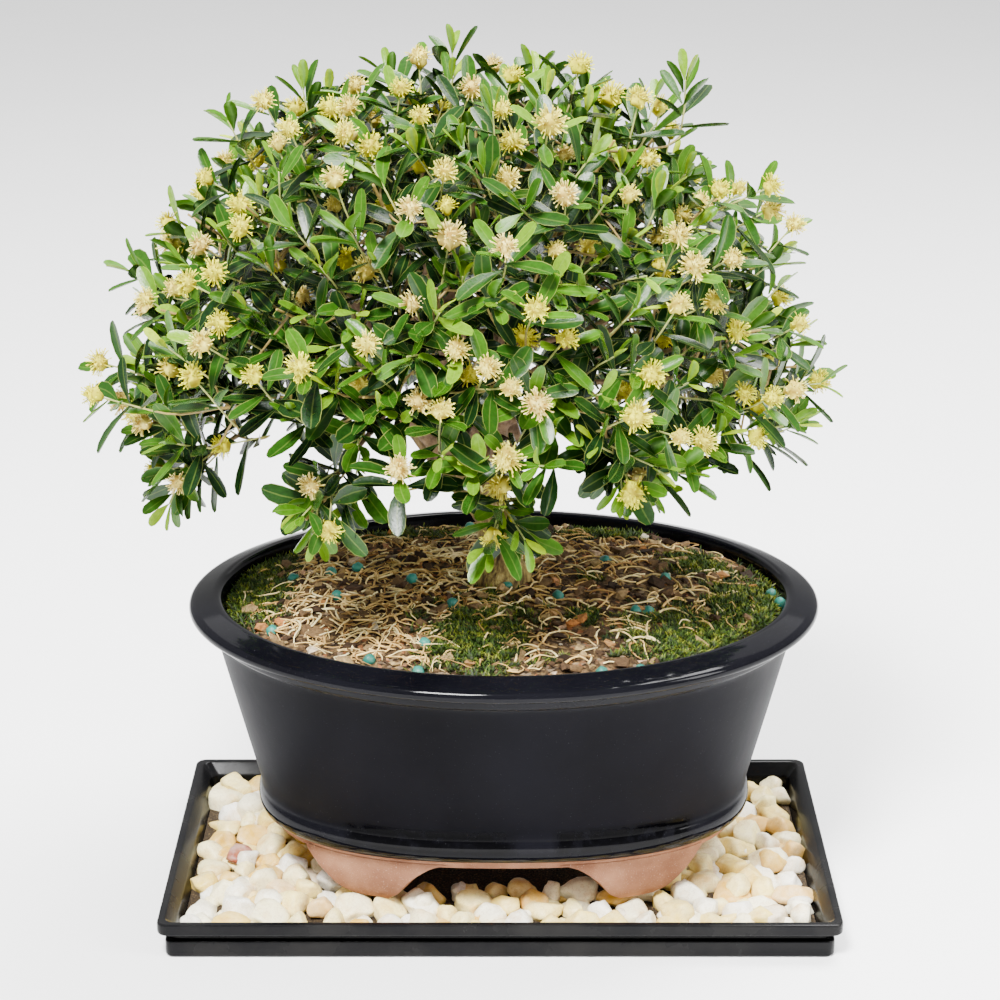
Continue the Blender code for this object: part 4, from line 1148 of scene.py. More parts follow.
def chip_points():
    draw = random.Random(8)
    points = []
    for _ in range(CHIP_COUNT):
        place = on_soil(draw)
        if mossiness(place) > MOSSY and draw.random() < MOSS_COVERS:
            continue
        size = 0.6 * MM + 3.0 * MM * draw.random() ** 2.8
        points.append({
            "place": (place.x, place.y, soil_height(place) + size * draw.uniform(0.0, 0.35)),
            "turn": tumbled(draw, 0.5),
            "size": (size, size, size),
            "form": draw.randrange(CHIP_FORMS),
            "tint": draw.random(),
        })
    for column, row, size, tint in CHIPS_SEEN:
        place = seen_at(column, row, CHIP_LEVEL)
        points.append({
            "place": (place.x, place.y, soil_height(place) + 0.8 * MM),
            "turn": (0.1, -0.1, draw.uniform(0, FULL_TURN)),
            "size": (size * MM, size * MM, size * MM),
            "form": draw.randrange(CHIP_FORMS),
            "tint": tint,
        })
    return points


chip_draw = random.Random(3)
chips = scattered("bark_chips", [chip_mesh(chip_draw) for _ in range(CHIP_FORMS)],
                  chip_points(), chip_finish())
chips.data.set_sharp_from_angle(angle=math.radians(25))
hand_over(chips, "soil_mix")


# %% Pellets
def pellet_mesh(draw):
    mesh = bmesh.new()
    bmesh.ops.create_icosphere(mesh, subdivisions=2, radius=0.5)
    for vert in mesh.verts:
        vert.co *= 1.0 + 0.22 * noise.noise(vert.co * 4 + Vector((draw.random(), 0, 0)))
    return mesh


def pellet_points():
    draw = random.Random(12)
    places = [seen_at(column, row, CHIP_LEVEL) for column, row in PELLETS_SEEN]
    places += [on_soil(draw) for _ in range(5)]
    return [{
        "place": (place.x, place.y, soil_height(place) + PELLET_DIAMETER * 0.22),
        "turn": (draw.uniform(0, 3), draw.uniform(0, 3), draw.uniform(0, 3)),
        "size": (1.0, 1.0, draw.uniform(0.88, 1.0)),
        "form": draw.randrange(PELLET_FORMS),
        "tint": draw.random(),
    } for place in places]


pellet_draw = random.Random(6)
pellets = scattered("pellets", [pellet_mesh(pellet_draw) for _ in range(PELLET_FORMS)],
                    pellet_points(), pellet_finish(), PELLET_DIAMETER)
hand_over(pellets, "soil_mix")

# %% [markdown]
# ## Root fibres
# Fine dry roots lie over the soil in loose arcs, most of them on the left and round the trunk. Each is
# a line of points that wanders, and one rule in Geometry Nodes turns every line into a thin tube.


# %% The rule that turns lines into tubes
def tube_rule():
    rule = Growth("tubes", {"Thickness": "Float", "Sides": "Int", "Finish": "Material"})
    tube = rule.tube(rule.given["Sides"], rule.given["Thickness"])
    rule.close(rule.realised(tube, rule.given["Finish"]))
    return rule


tubes = tube_rule()
print("inputs of the rule:", ", ".join(tubes.keys))


# %% Fibre finish and lines
def fibre_finish():
    """Dry root skin: straw to tan, darker where it is damp."""
    finish = Finish("root_fibre", Roughness=0.75, Specular_IOR_Level=0.3)
    tone = finish.ramp(
        finish.mark("tint"), (0.0, (0.34, 0.17, 0.045)), (0.5, (0.80, 0.54, 0.18)),
        (1.0, (1.0, 0.86, 0.44))
    )
    tone = finish.shaded(tone, finish.noise(500.0, 4.0), (0.35, 0.65), (0.65, 1.15))
    return finish.done(tone, finish.noise(1800.0, 3.0), 0.06 * MM)


FIBRE_COUNT = 1800
FIBRE_STEP = 1.7 * MM
ALONG_X, ALONG_Y = Vector((1, 0, 0)), Vector((0, 1, 0))


def fibre_lines():
    draw = random.Random(31)
    points, edges = [], []
    for _ in range(FIBRE_COUNT):
        place = on_soil(draw, 0.93)
        keep = 1.0 if place.x < 12 * MM else 0.42
        if mossiness(place) > MOSSY:
            keep *= 1 - MOSS_COVERS
        if draw.random() > keep:
            continue
        heading = draw.uniform(0, 2 * math.pi)
        bend = draw.gauss(0, 0.26)
        count = draw.randrange(3, 10)
        lift = draw.uniform(0.2, 1.6) * MM
        tint, thick = draw.random(), draw.uniform(0.55, 1.25)
        for step in range(count):
            share = step / (count - 1)
            rise = lift * math.sin(math.pi * share)
            z = soil_height(place) + 0.25 * MM + rise + 0.3 * MM * draw.random()
            if step:
                edges.append((len(points) - 1, len(points)))
            points.append({"place": (place.x, place.y, z), "tint": tint,
                           "thick": thick * (1 - 0.6 * share)})
            heading += bend + draw.gauss(0, 0.16)
            ahead = place + FIBRE_STEP * spoke(heading, ALONG_X, ALONG_Y)
            if soil_share(ahead) > 0.95 or (ahead - Vector((TRUNK_X, TRUNK_Y, 0))).length < 9 * MM:
                heading += math.pi / 2
                ahead = place + FIBRE_STEP * spoke(heading, ALONG_X, ALONG_Y)
            place = ahead if soil_share(ahead) < 0.97 else place.lerp(Vector((POT_X, POT_Y, 0)), 0.02)
    return points, edges


fibre_points, fibre_edges = fibre_lines()
fibres = tubes.harvest(
    "root_fibres", make_carrier("fibre_lines", fibre_points, fibre_edges),
    Thickness=0.40 * MM, Sides=4, Finish=fibre_finish()
)
hand_over(fibres, "bark")

# %% [markdown]
# ## Moss
# Moss grows in patches. A tuft is a handful of pointed blades, and Geometry Nodes spreads tufts over
# the soil, thickly where a painted value is high. The patches are where the photograph shows them.

# %% Moss tuft
MOSS_DENSITY, TUFT_FORMS = 1.0e6, 6


def moss_tuft(draw):
    mesh = bmesh.new()
    layer = mesh.verts.layers.float_vector.new("blade")
    for index in range(5):
        turn = index * 2.4 + draw.uniform(-0.4, 0.4)
        lean = draw.uniform(0.40, 1.20)
        out = Vector((math.cos(turn), math.sin(turn), 0))
        side = Vector((-out.y, out.x, 0)) * 0.17
        tip = out * lean + Vector((0, 0, draw.uniform(0.30, 0.80)))
        foot = out * 0.08
        corners = [mesh.verts.new(point) for point in (foot + side, foot - side, foot + out * 0.14)]
        end = mesh.verts.new(tip)
        end[layer] = (0.0, 1.0, 0.0)
        mesh.faces.new(corners)
        for first, second in ((0, 1), (1, 2), (2, 0)):
            mesh.faces.new((corners[first], end, corners[second]))
    bmesh.ops.recalc_face_normals(mesh, faces=mesh.faces)
    return mesh


# %% Moss finish and rule
def moss_green():
    finish = Finish("moss_green", Roughness=0.6, Specular_IOR_Level=0.3)
    # Blades darken to near black towards their base: painted shade deep in the tuft, under lighter tips.
    depth = finish.ramp(finish.split(finish.mark("blade", "Vector"), "Y"), (0.45, 0.0), (1.0, 1.0))
    patch = finish.noise(260.0, 6.0, 0.7)
    low = finish.ramp(patch, (0.4, (0.008, 0.018, 0.002)), (0.65, (0.034, 0.036, 0.006)))
    high = finish.ramp(patch, (0.36, (0.018, 0.062, 0.002)), (0.50, (0.070, 0.150, 0.003)),
                       (0.60, (0.36, 0.42, 0.015)), (0.68, (0.48, 0.44, 0.06)))
    tone = finish.mix(depth, low, high)
    return finish.done(tone, finish.noise(2500.0, 2.0), 0.05 * MM)


def moss_rule():
    rule = Growth("moss", {"Forms": "Collection", "Density": "Float", "Tuft size": "Float",
                           "Seed": "Int", "Finish": "Material"})
    given = rule.given
    density = rule.times(rule.mark("moss"), given["Density"])
    spots = rule.add("GeometryNodeDistributePointsOnFaces", {
        "Mesh": given["Geometry"], "Density": density, "Seed": given["Seed"]
    })
    spin = rule.add("ShaderNodeCombineXYZ", {"Z": rule.random(0.0, FULL_TURN, given["Seed"])})
    turn = rule.add("FunctionNodeRotateRotation", {
        "Rotation": spots.node.outputs["Rotation"],
        "Rotate By": rule.add("FunctionNodeEulerToRotation", {"Euler": spin}),
    }, rotation_space="LOCAL")
    size = rule.times(rule.random(0.6, 1.25, given["Seed"]), given["Tuft size"])
    rule.close(rule.realised(rule.placed(spots, "Forms", turn, size), given["Finish"]))
    return rule


# %% Grow the moss
def moss_carrier():
    """The top of the soil, with how mossy each point is painted on it."""
    mesh = bmesh.new()
    mesh.from_mesh(soil.data)
    mesh.normal_update()
    below = [face for face in mesh.faces
             if face.normal.z < 0.3 or face.calc_center_median().z < SOIL_EDGE_Z - 2 * MM]
    bmesh.ops.delete(mesh, geom=below, context="FACES")
    data = bpy.data.meshes.new("moss_ground")
    mesh.to_mesh(data)
    mesh.free()
    layer = data.attributes.new("moss", "FLOAT", "POINT")
    layer.data.foreach_set("value", [mossiness(vert.co) for vert in data.vertices])
    return shown("moss_ground", data)


tuft_draw = random.Random(9)
tuft_forms = make_forms("tuft", [moss_tuft(tuft_draw) for _ in range(TUFT_FORMS)])
moss = moss_rule().harvest(
    "moss", moss_carrier(), Forms=tuft_forms, Density=MOSS_DENSITY, Tuft_size=2.8 * MM, Seed=5,
    Finish=moss_green()
)
clear_forms(tuft_forms)
hand_over(moss, "leaf_green")

# %% [markdown]
# ## Where the tree grows
# The crown is a dome with flattened sides. Its sprays start on limbs that leave the trunk in turn.
# These are the same rules and sizes as the plain solids have, so each finer spray lies round its own.

# %% Crown sizes
LIMB_COUNT, LIMB_RADIUS, TWIG_RADIUS = 8, 3.4 * MM, 1.4 * MM
LIMB_FIRST_TURN, LIMB_TURN, LIMB_SAG, LIMB_SHARE = 2.6, 2.4, 3.0 * MM, 0.42
CANOPY_CENTRE = Vector((-10.0, 4.0, 165.0)) * MM
CANOPY_X, CANOPY_Y = 114.0 * MM, 94.0 * MM
CANOPY_UP, CANOPY_DOWN = 110.0 * MM, 34.0 * MM
CANOPY_POWER = 2.15
SPRAY_COUNT = 39
ANCHOR_SHARE = 0.53
HANGING_SPACE = 24.0 * MM
HANGING_SPRAYS = (
    (Vector((-116, -8, 170)) * MM, Vector((-84, -4, 168)) * MM),
    (Vector((-106, -20, 142)) * MM, Vector((-82, -10, 156)) * MM),
    (Vector((-60, -68, 144)) * MM, Vector((-46, -46, 160)) * MM),
    (Vector((2, -68, 138)) * MM, Vector((0, -44, 157)) * MM),
    (Vector((46, -66, 148)) * MM, Vector((34, -44, 164)) * MM),
)
GOLDEN_TURN = math.pi * (3 - math.sqrt(5))


def canopy_reach(direction):
    """Distance from the crown's middle to its surface in a direction."""
    up = CANOPY_UP if direction.z > 0 else CANOPY_DOWN
    shares = (abs(direction.x) / CANOPY_X, abs(direction.y) / CANOPY_Y, abs(direction.z) / up)
    return sum(share ** CANOPY_POWER for share in shares) ** (-1 / CANOPY_POWER)


def on_spiral(index, height):
    """A direction on an even spiral, at a height from 1 overhead to 0 level."""
    level = math.sqrt(max(0.0, 1 - height * height))
    return Vector((math.cos(GOLDEN_TURN * index) * level, math.sin(GOLDEN_TURN * index) * level, height))


def spray_lines():
    """Start and tip of each spray: an even spiral over the dome, then the hanging boughs."""
    lines = []
    for index in range(SPRAY_COUNT):
        direction = on_spiral(index, 1 - (index + 0.5) / SPRAY_COUNT)
        reach = canopy_reach(direction)
        tip = CANOPY_CENTRE + direction * reach
        if all((tip - end).length >= HANGING_SPACE for end, start in HANGING_SPRAYS):
            lines.append((CANOPY_CENTRE + direction * reach * ANCHOR_SHARE, tip))
    return lines + [(start, end) for end, start in HANGING_SPRAYS]


def trunk_path():
    root = Vector((TRUNK_X, TRUNK_Y, 0))
    levels = (
        (TRUNK_PLUG_Z, 0, 0, TRUNK_PLUG_RADIUS),
        (SOIL_EDGE_Z + SOIL_MOUND + 0.4 * MM, 0, 0, TRUNK_PLUG_RADIUS),
        (112 * MM, -0.6 * MM, 0.4 * MM, 6.4 * MM),
        (124 * MM, -3.0 * MM, 2.0 * MM, 5.6 * MM),
        (138 * MM, -6.0 * MM, 3.0 * MM, 5.0 * MM),
        (TRUNK_TOP_Z, -9.0 * MM, 4.0 * MM, 3.8 * MM),
    )
    return [root + Vector((x, y, z)) for z, x, y, radius in levels], [level[3] for level in levels]


def limb_lines():
    path, radii = trunk_path()
    limbs = []
    for index in range(LIMB_COUNT):
        turn = LIMB_TURN * index + LIMB_FIRST_TURN
        steep = 0.30 + 1.6 * (index / (LIMB_COUNT - 1)) ** 2
        direction = Vector((math.cos(turn), math.sin(turn), steep)).normalized()
        origin = path[2].lerp(path[5], 0.25 + 0.72 * index / (LIMB_COUNT - 1))
        end = CANOPY_CENTRE + direction * canopy_reach(direction) * LIMB_SHARE
        limbs.append((origin, origin.lerp(end, 0.5) - Vector((0, 0, LIMB_SAG)), end))
    return limbs


def twig_origins(lines, limbs):
    """Where each spray's twig leaves its limb: one limb's twigs leave it one after another."""
    owners = [min(range(len(limbs)), key=lambda index: (limbs[index][2] - start).length)
              for start, end in lines]
    origins = []
    for number, owner in enumerate(owners):
        mates = [other for other in range(len(lines)) if owners[other] == owner]
        mates.sort(key=lambda other: (limbs[owner][1] - lines[other][0]).length)
        share = (mates.index(number) + 1) / len(mates)
        origins.append(limbs[owner][1].lerp(limbs[owner][2], 0.1 + 0.82 * share))
    return origins


lines = spray_lines()
limbs = limb_lines()
origins = twig_origins(lines, limbs)
print("sprays:", len(lines), "limbs:", len(limbs))

# %% [markdown]
# ## The trunk
# The trunk and limbs grew as one, so they are made as overlapping tubes and then fused by a voxel
# remesh, which also rounds the forks. The ridges of old boxwood bark are pushed in afterwards.

# %% [markdown]
# ## Bark
# Old boxwood bark is corky and yellow-grey, cracked along the trunk. Noise that is stretched along
# the height gives cracks that run the right way, in the colour and in the relief.

# %% Trunk finish
def bark_finish():
    """Yellow-grey corky bark on the trunk, browner on the limbs, with dark cracks along it."""
    finish = Finish("bark", Roughness=0.85, Specular_IOR_Level=0.25)
    along = finish.stretched(1.0, 1.0, 0.22)
    cracks = finish.noise(520.0, 7.0, 0.65, along)
    tone = finish.ramp(
        cracks, (0.36, (0.030, 0.018, 0.008)), (0.46, (0.15, 0.100, 0.034)),
        (0.56, (0.34, 0.25, 0.075)), (0.70, (0.56, 0.46, 0.16))
    )
    twig_tone = finish.ramp(
        finish.noise(400.0, 4.0), (0.35, (0.085, 0.050, 0.028)), (0.65, (0.21, 0.13, 0.07))
    )
    height = finish.times(finish.split(finish.place, "Z"), 4.0)
    tone = finish.mix(finish.ramp(height, (0.46, 0.0), (0.62, 1.0)), tone, twig_tone)
    return finish.done(tone, cracks, 0.9 * MM)


# %% Make the trunk
BARK_VOXEL = 0.9 * MM


def frame_along(direction):
    helper = Vector((0, 0, 1)) if abs(direction.z) < 0.9 else Vector((1, 0, 0))
    side = direction.cross(helper).normalized()
    return side, direction.cross(side).normalized()


def add_tube(mesh, path, radii, sides, flutes=0.0):
    rings = []
    for index, point in enumerate(path):
        ahead = path[min(len(path) - 1, index + 1)] - path[max(0, index - 1)]
        side, up = frame_along(ahead.normalized())
        along = index / (len(path) - 1) * (len(radii) - 1)
        low = min(int(along), len(radii) - 2)
        radius = radii[low] + (along - low) * (radii[low + 1] - radii[low])
        ring = []
        for step in range(sides):
            turn = 2 * math.pi * step / sides
            wide, narrow = math.cos(3 * turn + 4 * along), math.cos(7 * turn - along)
            ridge = 1.0 + flutes * wide + 0.5 * flutes * narrow
            ring.append(point + radius * ridge * spoke(turn, side, up))
        rings.append(ring)
    add_loft(mesh, rings)


def make_trunk():
    mesh = bmesh.new()
    path, radii = trunk_path()
    flare = [radii[0], radii[1] * 1.10] + radii[2:]
    add_tube(mesh, smooth_path(path), flare, 36, flutes=0.09)
    for limb in limbs:
        add_tube(mesh, smooth_path(limb), [LIMB_RADIUS, LIMB_RADIUS * 0.85, LIMB_RADIUS * 0.6], 12, 0.06)
    draw = random.Random(2)
    for origin, (start, end) in zip(origins, lines):
        sway = Vector((draw.uniform(-3, 3), draw.uniform(-3, 3), draw.uniform(-1, 4))) * MM
        bent = (origin, origin.lerp(start, 0.5) + sway, start)
        add_tube(mesh, smooth_path(bent), [TWIG_RADIUS, TWIG_RADIUS * 0.8, TWIG_RADIUS * 0.65], 8)
    trunk = from_bmesh("trunk_wood", mesh, bark_finish())
    remesh = trunk.modifiers.new("fuse", "REMESH")
    remesh.mode = "VOXEL"
    remesh.voxel_size = BARK_VOXEL
    trunk.data = baked(trunk)
    for vert in trunk.data.vertices:
        point = vert.co
        corky = noise.noise(Vector((point.x, point.y, point.z * 0.25)) / (1.7 * MM))
        depth = 0.45 if point.z < TRUNK_TOP_Z else 0.15
        vert.co = point + vert.normal * corky * depth * MM
    trunk.data.shade_smooth()
    return trunk


trunk = hand_over(make_trunk(), "bark", "trunk")

# %% [markdown]
# ## Leaves and flower heads
# A boxwood leaf is a small leathery spoon: narrow at its stalk, widest past the middle, blunt at the
# tip, with a pale midrib and rim. It is built from six cross sections with an upper and a lower side.
# A flower head is a ball of stiff curved stamens with thick tips.

# %% Leaf forms
LEAF_OUTLINE = ((0.00, 0.10), (0.14, 0.32), (0.38, 0.80), (0.62, 1.00), (0.84, 0.88), (0.965, 0.48))
LEAF_HALF_WIDTH = 0.160
LEAF_FORMS = 8


def leaf_mesh(draw):
    """A leaf one unit long that lies along +Y with its upper side towards +Z."""
    mesh = bmesh.new()
    layer = mesh.verts.layers.float_vector.new("blade")
    fold, curl = draw.uniform(0.15, 0.5), draw.uniform(-0.16, 0.10)
    sway, twist = draw.uniform(-0.06, 0.06), draw.uniform(-0.35, 0.35)
    thick = 0.03

    def corner(across, share, depth, side, width):
        half = across * width * LEAF_HALF_WIDTH
        lift = curl * share * share + fold * abs(half) - depth
        x = half * math.cos(twist * share) + sway * math.sin(math.pi * share)
        vert = mesh.verts.new((x, share, lift + half * math.sin(twist * share)))
        vert[layer] = (across, share, side)
        return vert

    rows = [
        (corner(-1, share, 0, 1, width), corner(0, share, 0, 1, width),
         corner(1, share, 0, 1, width), corner(0, share, thick, 0, width))
        for share, width in LEAF_OUTLINE
    ]
    tip = corner(0, 1.0, 0, 1, 0.0)
    skin(mesh, rows, tip)
    bmesh.ops.recalc_face_normals(mesh, faces=mesh.faces)
    return mesh


# %% Flower forms
BLOOM_KINDS = ((86, 1.0, -0.30), (78, 0.95, -0.20), (72, 0.9, 0.0), (66, 1.0, 0.1), (84, 0.95, -0.5),
               (52, 0.85, 0.2))


def bloom_mesh(stamens, spread, lowest, draw):
    """A ball of stamens one unit in radius; each is a bent three-sided stalk with a thick tip."""
    mesh = bmesh.new()
    layer = mesh.verts.layers.float_vector.new("blade")
    bmesh.ops.create_icosphere(mesh, subdivisions=2, radius=0.58)
    for vert in mesh.verts:
        vert.co *= draw.uniform(0.72, 1.22)
        vert[layer] = (draw.random(), draw.uniform(0.40, 0.95), 0.0)
    for index in range(stamens):
        direction = on_spiral(index, 1 - (1 - lowest) * (index + 0.5) / stamens)
        loose = Vector((draw.uniform(-1, 1), draw.uniform(-1, 1), draw.uniform(-1, 1)))
        direction = (direction + 0.30 * loose).normalized()
        side, up = frame_along(direction)
        length = spread * draw.uniform(0.74, 1.10)
        bend = side * draw.uniform(-0.40, 0.40) + up * draw.uniform(-0.40, 0.40)
        tone = draw.random()
        rows = []
        for share, thick in ((0.30, 0.050), (0.84, 0.028), (0.93, 0.060)):
            middle = direction * length * share + bend * share * share
            row = []
            for turn in (0.0, 2.094, 4.189):
                vert = mesh.verts.new(middle + thick * spoke(turn, side, up))
                vert[layer] = (tone, share, 0.0)
                row.append(vert)
            rows.append(row)
        tip = mesh.verts.new(direction * length + bend)
        tip[layer] = (tone, 1.0, 0.0)
        skin(mesh, rows, tip)
    bmesh.ops.recalc_face_normals(mesh, faces=mesh.faces)
    return mesh

# %% [markdown]
# ## Leaf, stem and flower finishes
# Young leaves are yellow-green and old ones dark, so each leaf carries its age as a tint; leaves deep
# inside the crown take the darkest tint, which is painted shade as well as age. The blade attribute says
# how far across and along a leaf a point lies, which places midrib and rim.

# %% Leaf, stem and flower finishes
def leaf_green():
    """Leathery green, lighter along the midrib and rim, yellower when young, paler below."""
    finish = Finish("leaf_green", Roughness=0.26, Specular_IOR_Level=0.20)
    blade = finish.mark("blade", "Vector")
    across = finish.sum("ABSOLUTE", finish.split(blade, "X"))
    tone = finish.ramp(
        finish.mark("tint"), (0.0, (0.004, 0.018, 0.003)), (0.35, (0.013, 0.054, 0.003)),
        (0.62, (0.040, 0.122, 0.003)), (0.85, (0.125, 0.240, 0.003)),
        (1.0, (0.330, 0.430, 0.005))
    )
    tone = finish.shaded(tone, finish.noise(700.0, 4.0), (0.35, 0.82), (0.65, 1.15))
    rib = finish.ramp(across, (0.0, 0.22), (0.05, 0.14), (0.12, 0.0))
    tone = finish.mix(rib, tone, (0.22, 0.30, 0.05))
    rim = finish.ramp(across, (0.90, 0.0), (1.0, 0.42))
    tone = finish.mix(rim, tone, (0.44, 0.48, 0.10))
    below = finish.ramp(finish.split(blade, "Z"), (0.05, 1.0), (0.6, 0.0))
    tone = finish.mix(finish.times(below, 0.6), tone, (0.11, 0.22, 0.06))
    veins = finish.sum("ADD", finish.noise(1400.0, 3.0), finish.times(rib, -0.8))
    return finish.done(tone, veins, 0.07 * MM)


def stem_finish():
    """Young stems are green-yellow; older ones turn tan."""
    finish = Finish("young_stem", Roughness=0.6, Specular_IOR_Level=0.35)
    tone = finish.ramp(
        finish.mark("tint"), (0.0, (0.12, 0.075, 0.030)), (0.5, (0.30, 0.21, 0.05)),
        (1.0, (0.36, 0.42, 0.11))
    )
    tone = finish.shaded(tone, finish.noise(900.0, 3.0), (0.35, 0.75), (0.65, 1.15))
    return finish.done(tone, finish.noise(1600.0, 3.0), 0.05 * MM)


def bloom_finish():
    """Cream-yellow stamens with pale tips; older heads turn beige and pink-brown."""
    finish = Finish("bloom", Roughness=0.7, Specular_IOR_Level=0.25)
    blade = finish.mark("blade", "Vector")
    along, vary = finish.split(blade, "Y"), finish.split(blade, "X")
    fresh = finish.ramp(
        along, (0.15, (0.12, 0.10, 0.002)), (0.50, (0.38, 0.30, 0.003)),
        (0.80, (0.70, 0.65, 0.006)), (1.0, (0.88, 0.86, 0.026))
    )
    old = finish.ramp(
        along, (0.15, (0.15, 0.09, 0.01)), (0.50, (0.38, 0.22, 0.03)),
        (0.80, (0.78, 0.60, 0.14)), (1.0, (0.92, 0.80, 0.30))
    )
    tone = finish.mix(finish.mark("tint"), fresh, old)
    tone = finish.shaded(tone, vary, (0.0, 0.55), (1.0, 1.08))
    return finish.done(tone, finish.noise(2500.0, 2.0), 0.04 * MM)

# %% [markdown]
# ## Growing the sprays
# A spray is a stem with many shoots. Each shoot ends at a point of the crown's surface, or a little
# inside it, and carries crossed pairs of leaves: old dark ones low down and bright young ones at the
# tip. About a third of the shoots end in a flower head.

# %% Shoot sizes
SURFACE_SHOOTS = 380
INNER_SHOOTS = 165
HANGING_SHOOTS = ((8, 1.0), (7, 1.0), (9, 1.0), (6, 1.0), (6, 0.72))
NODE_SPACING = 3.5 * MM
LEAF_LENGTHS = (9.0, 12.5, 15.2, 16.2, 15.0)
LEAF_ANGLES = (24, 40, 52, 62, 70)
BLOOM_SHARE = 0.42
BLOOM_RADIUS = (3.8 * MM, 5.0 * MM)
BLOOMS_SEEN = (
    (265, 104), (290, 132), (260, 160), (279, 147), (208, 180), (243, 230), (202, 249), (242, 208),
    (356, 89), (351, 110), (332, 112), (373, 123), (347, 136), (419, 62), (401, 91), (421, 119),
    (440, 110), (471, 91), (371, 149), (421, 169), (444, 175), (335, 182), (335, 208), (388, 208),
    (410, 210), (447, 210), (347, 263), (369, 273), (280, 266), (304, 297), (414, 305), (217, 273),
    (191, 284), (223, 325), (505, 249), (503, 112), (508, 182), (512, 145), (565, 156), (565, 198),
    (629, 198), (646, 163), (718, 193), (737, 191), (768, 188), (767, 211), (792, 227), (680, 218),
    (677, 239), (657, 239), (556, 253), (588, 250), (659, 269), (693, 268), (730, 260), (677, 308),
    (712, 303), (535, 313), (776, 299), (579, 69), (512, 79), (638, 103), (659, 110), (148, 300),
    (177, 291), (204, 345), (173, 371), (195, 380), (302, 369), (255, 378), (103, 363), (97, 396),
    (146, 423), (226, 445), (179, 481), (369, 347), (362, 385), (398, 479), (313, 485), (329, 528),
    (523, 340), (564, 340), (457, 350), (469, 375), (487, 370), (508, 389), (418, 403), (441, 415),
    (537, 409), (493, 534), (662, 340), (735, 333), (648, 374), (623, 395), (678, 437), (699, 441),
    (710, 375), (741, 394), (755, 409), (770, 398), (791, 391), (815, 381), (753, 437), (797, 326),
    (826, 335),
)
LARGE_BLOOMS_SEEN = ((449, 242), (611, 101), (549, 126), (633, 417), (638, 474), (631, 490), (507, 460),
                     (502, 482))
LARGE_BLOOM_RADIUS = 5.6 * MM
BLOOM_STAND = 6.5 * MM
HEAD_CLEAR, SEARCH_PIXELS, DEPTH_WEIGHT = 10.5, 75, 90
FRONT_EDGE = -84.0 * MM
SPRIGS = (
    (Vector((56, -2, 266)) * MM, Vector((0.08, 0.0, 1.0))),
    (Vector((-83, 2, 253)) * MM, Vector((-0.5, 0.0, 0.9))),
    (Vector((-60, 4, 262)) * MM, Vector((-0.2, 0.0, 1.0))),
)
FRONT_LIFT, LEFT_LIFT = 0.16, 0.14
INSIDE_SHARE = 0.74
LOW_LEAVES, HIGH_LEAVES = 140 * MM, 210 * MM
GAPS_SEEN = ((200, 415, 292, 545), (352, 478, 395, 560))


def how_far_out(place):
    """0 at the crown's middle and 1 on its surface."""
    away = place - CANOPY_CENTRE
    return away.length / canopy_reach(away.normalized())


# %% Where shoots end
def in_gap(place):
    """True where the photograph shows the backdrop through the crown."""
    column, row, depth = seen_from(place)
    return any(left < column < right and top < row < bottom for left, top, right, bottom in GAPS_SEEN)


def shoot_targets(draw):
    """Where shoots end and which way they face: over the dome, inside it, and along the boughs."""
    targets = []
    for count, share, lowest in ((SURFACE_SHOOTS, 0.91, -0.14), (INNER_SHOOTS, 0.66, -0.08)):
        for index in range(count):
            direction = on_spiral(index, 1 - (1 - lowest) * (index + 0.5) / count)
            front, left = max(0.0, -direction.y), max(0.0, -direction.x)
            if direction.z < lowest + front * (FRONT_LIFT + LEFT_LIFT * left):
                continue
            uneven = 1 + 0.08 * noise.noise(direction * 3.1) + draw.uniform(-0.11, 0.04)
            place = CANOPY_CENTRE + direction * canopy_reach(direction) * share * uneven
            jitter = thrown(draw)
            facing = direction + Vector((0, 0, 0.25)) + 0.30 * jitter
            targets.append((place + jitter * 1.5 * MM, facing.normalized()))
    for (end, start), (count, length) in zip(HANGING_SPRAYS, HANGING_SHOOTS):
        ahead = (end - start).normalized()
        side, up = frame_along(ahead)
        for index in range(count):
            turn = GOLDEN_TURN * index
            out = spoke(turn, side, up)
            place = start.lerp(end, length * (0.15 + 0.85 * (index + 1) / count))
            place += out * draw.uniform(3, 8) * MM
            targets.append((place, (out * draw.uniform(0.3, 0.9) + ahead).normalized()))
    for place, facing in targets:
        place.y = max(place.y, FRONT_EDGE)
    targets = [target for target in targets if not in_gap(target[0])]
    return targets + [(place, facing.normalized()) for place, facing in SPRIGS]

# %% [markdown]
# ## Flower heads where the photograph shows them
# On the side that faces the camera, the shoot nearest to each flower head in the photograph is moved
# to it. Leaves that would cover a head are left off later. The back takes flowers at random.

# %% Which shoots flower
heads_seen = []


def hides_head(place, along, length):
    """True where a leaf would cover a flower head that the photograph shows."""
    for share in (0.35, 0.65, 0.92):
        spot = Vector(seen_from(place + along * length * share))
        if any((spot.xy - head.xy).length < HEAD_CLEAR and spot.z < head.z for head in heads_seen):
            return True
    return False


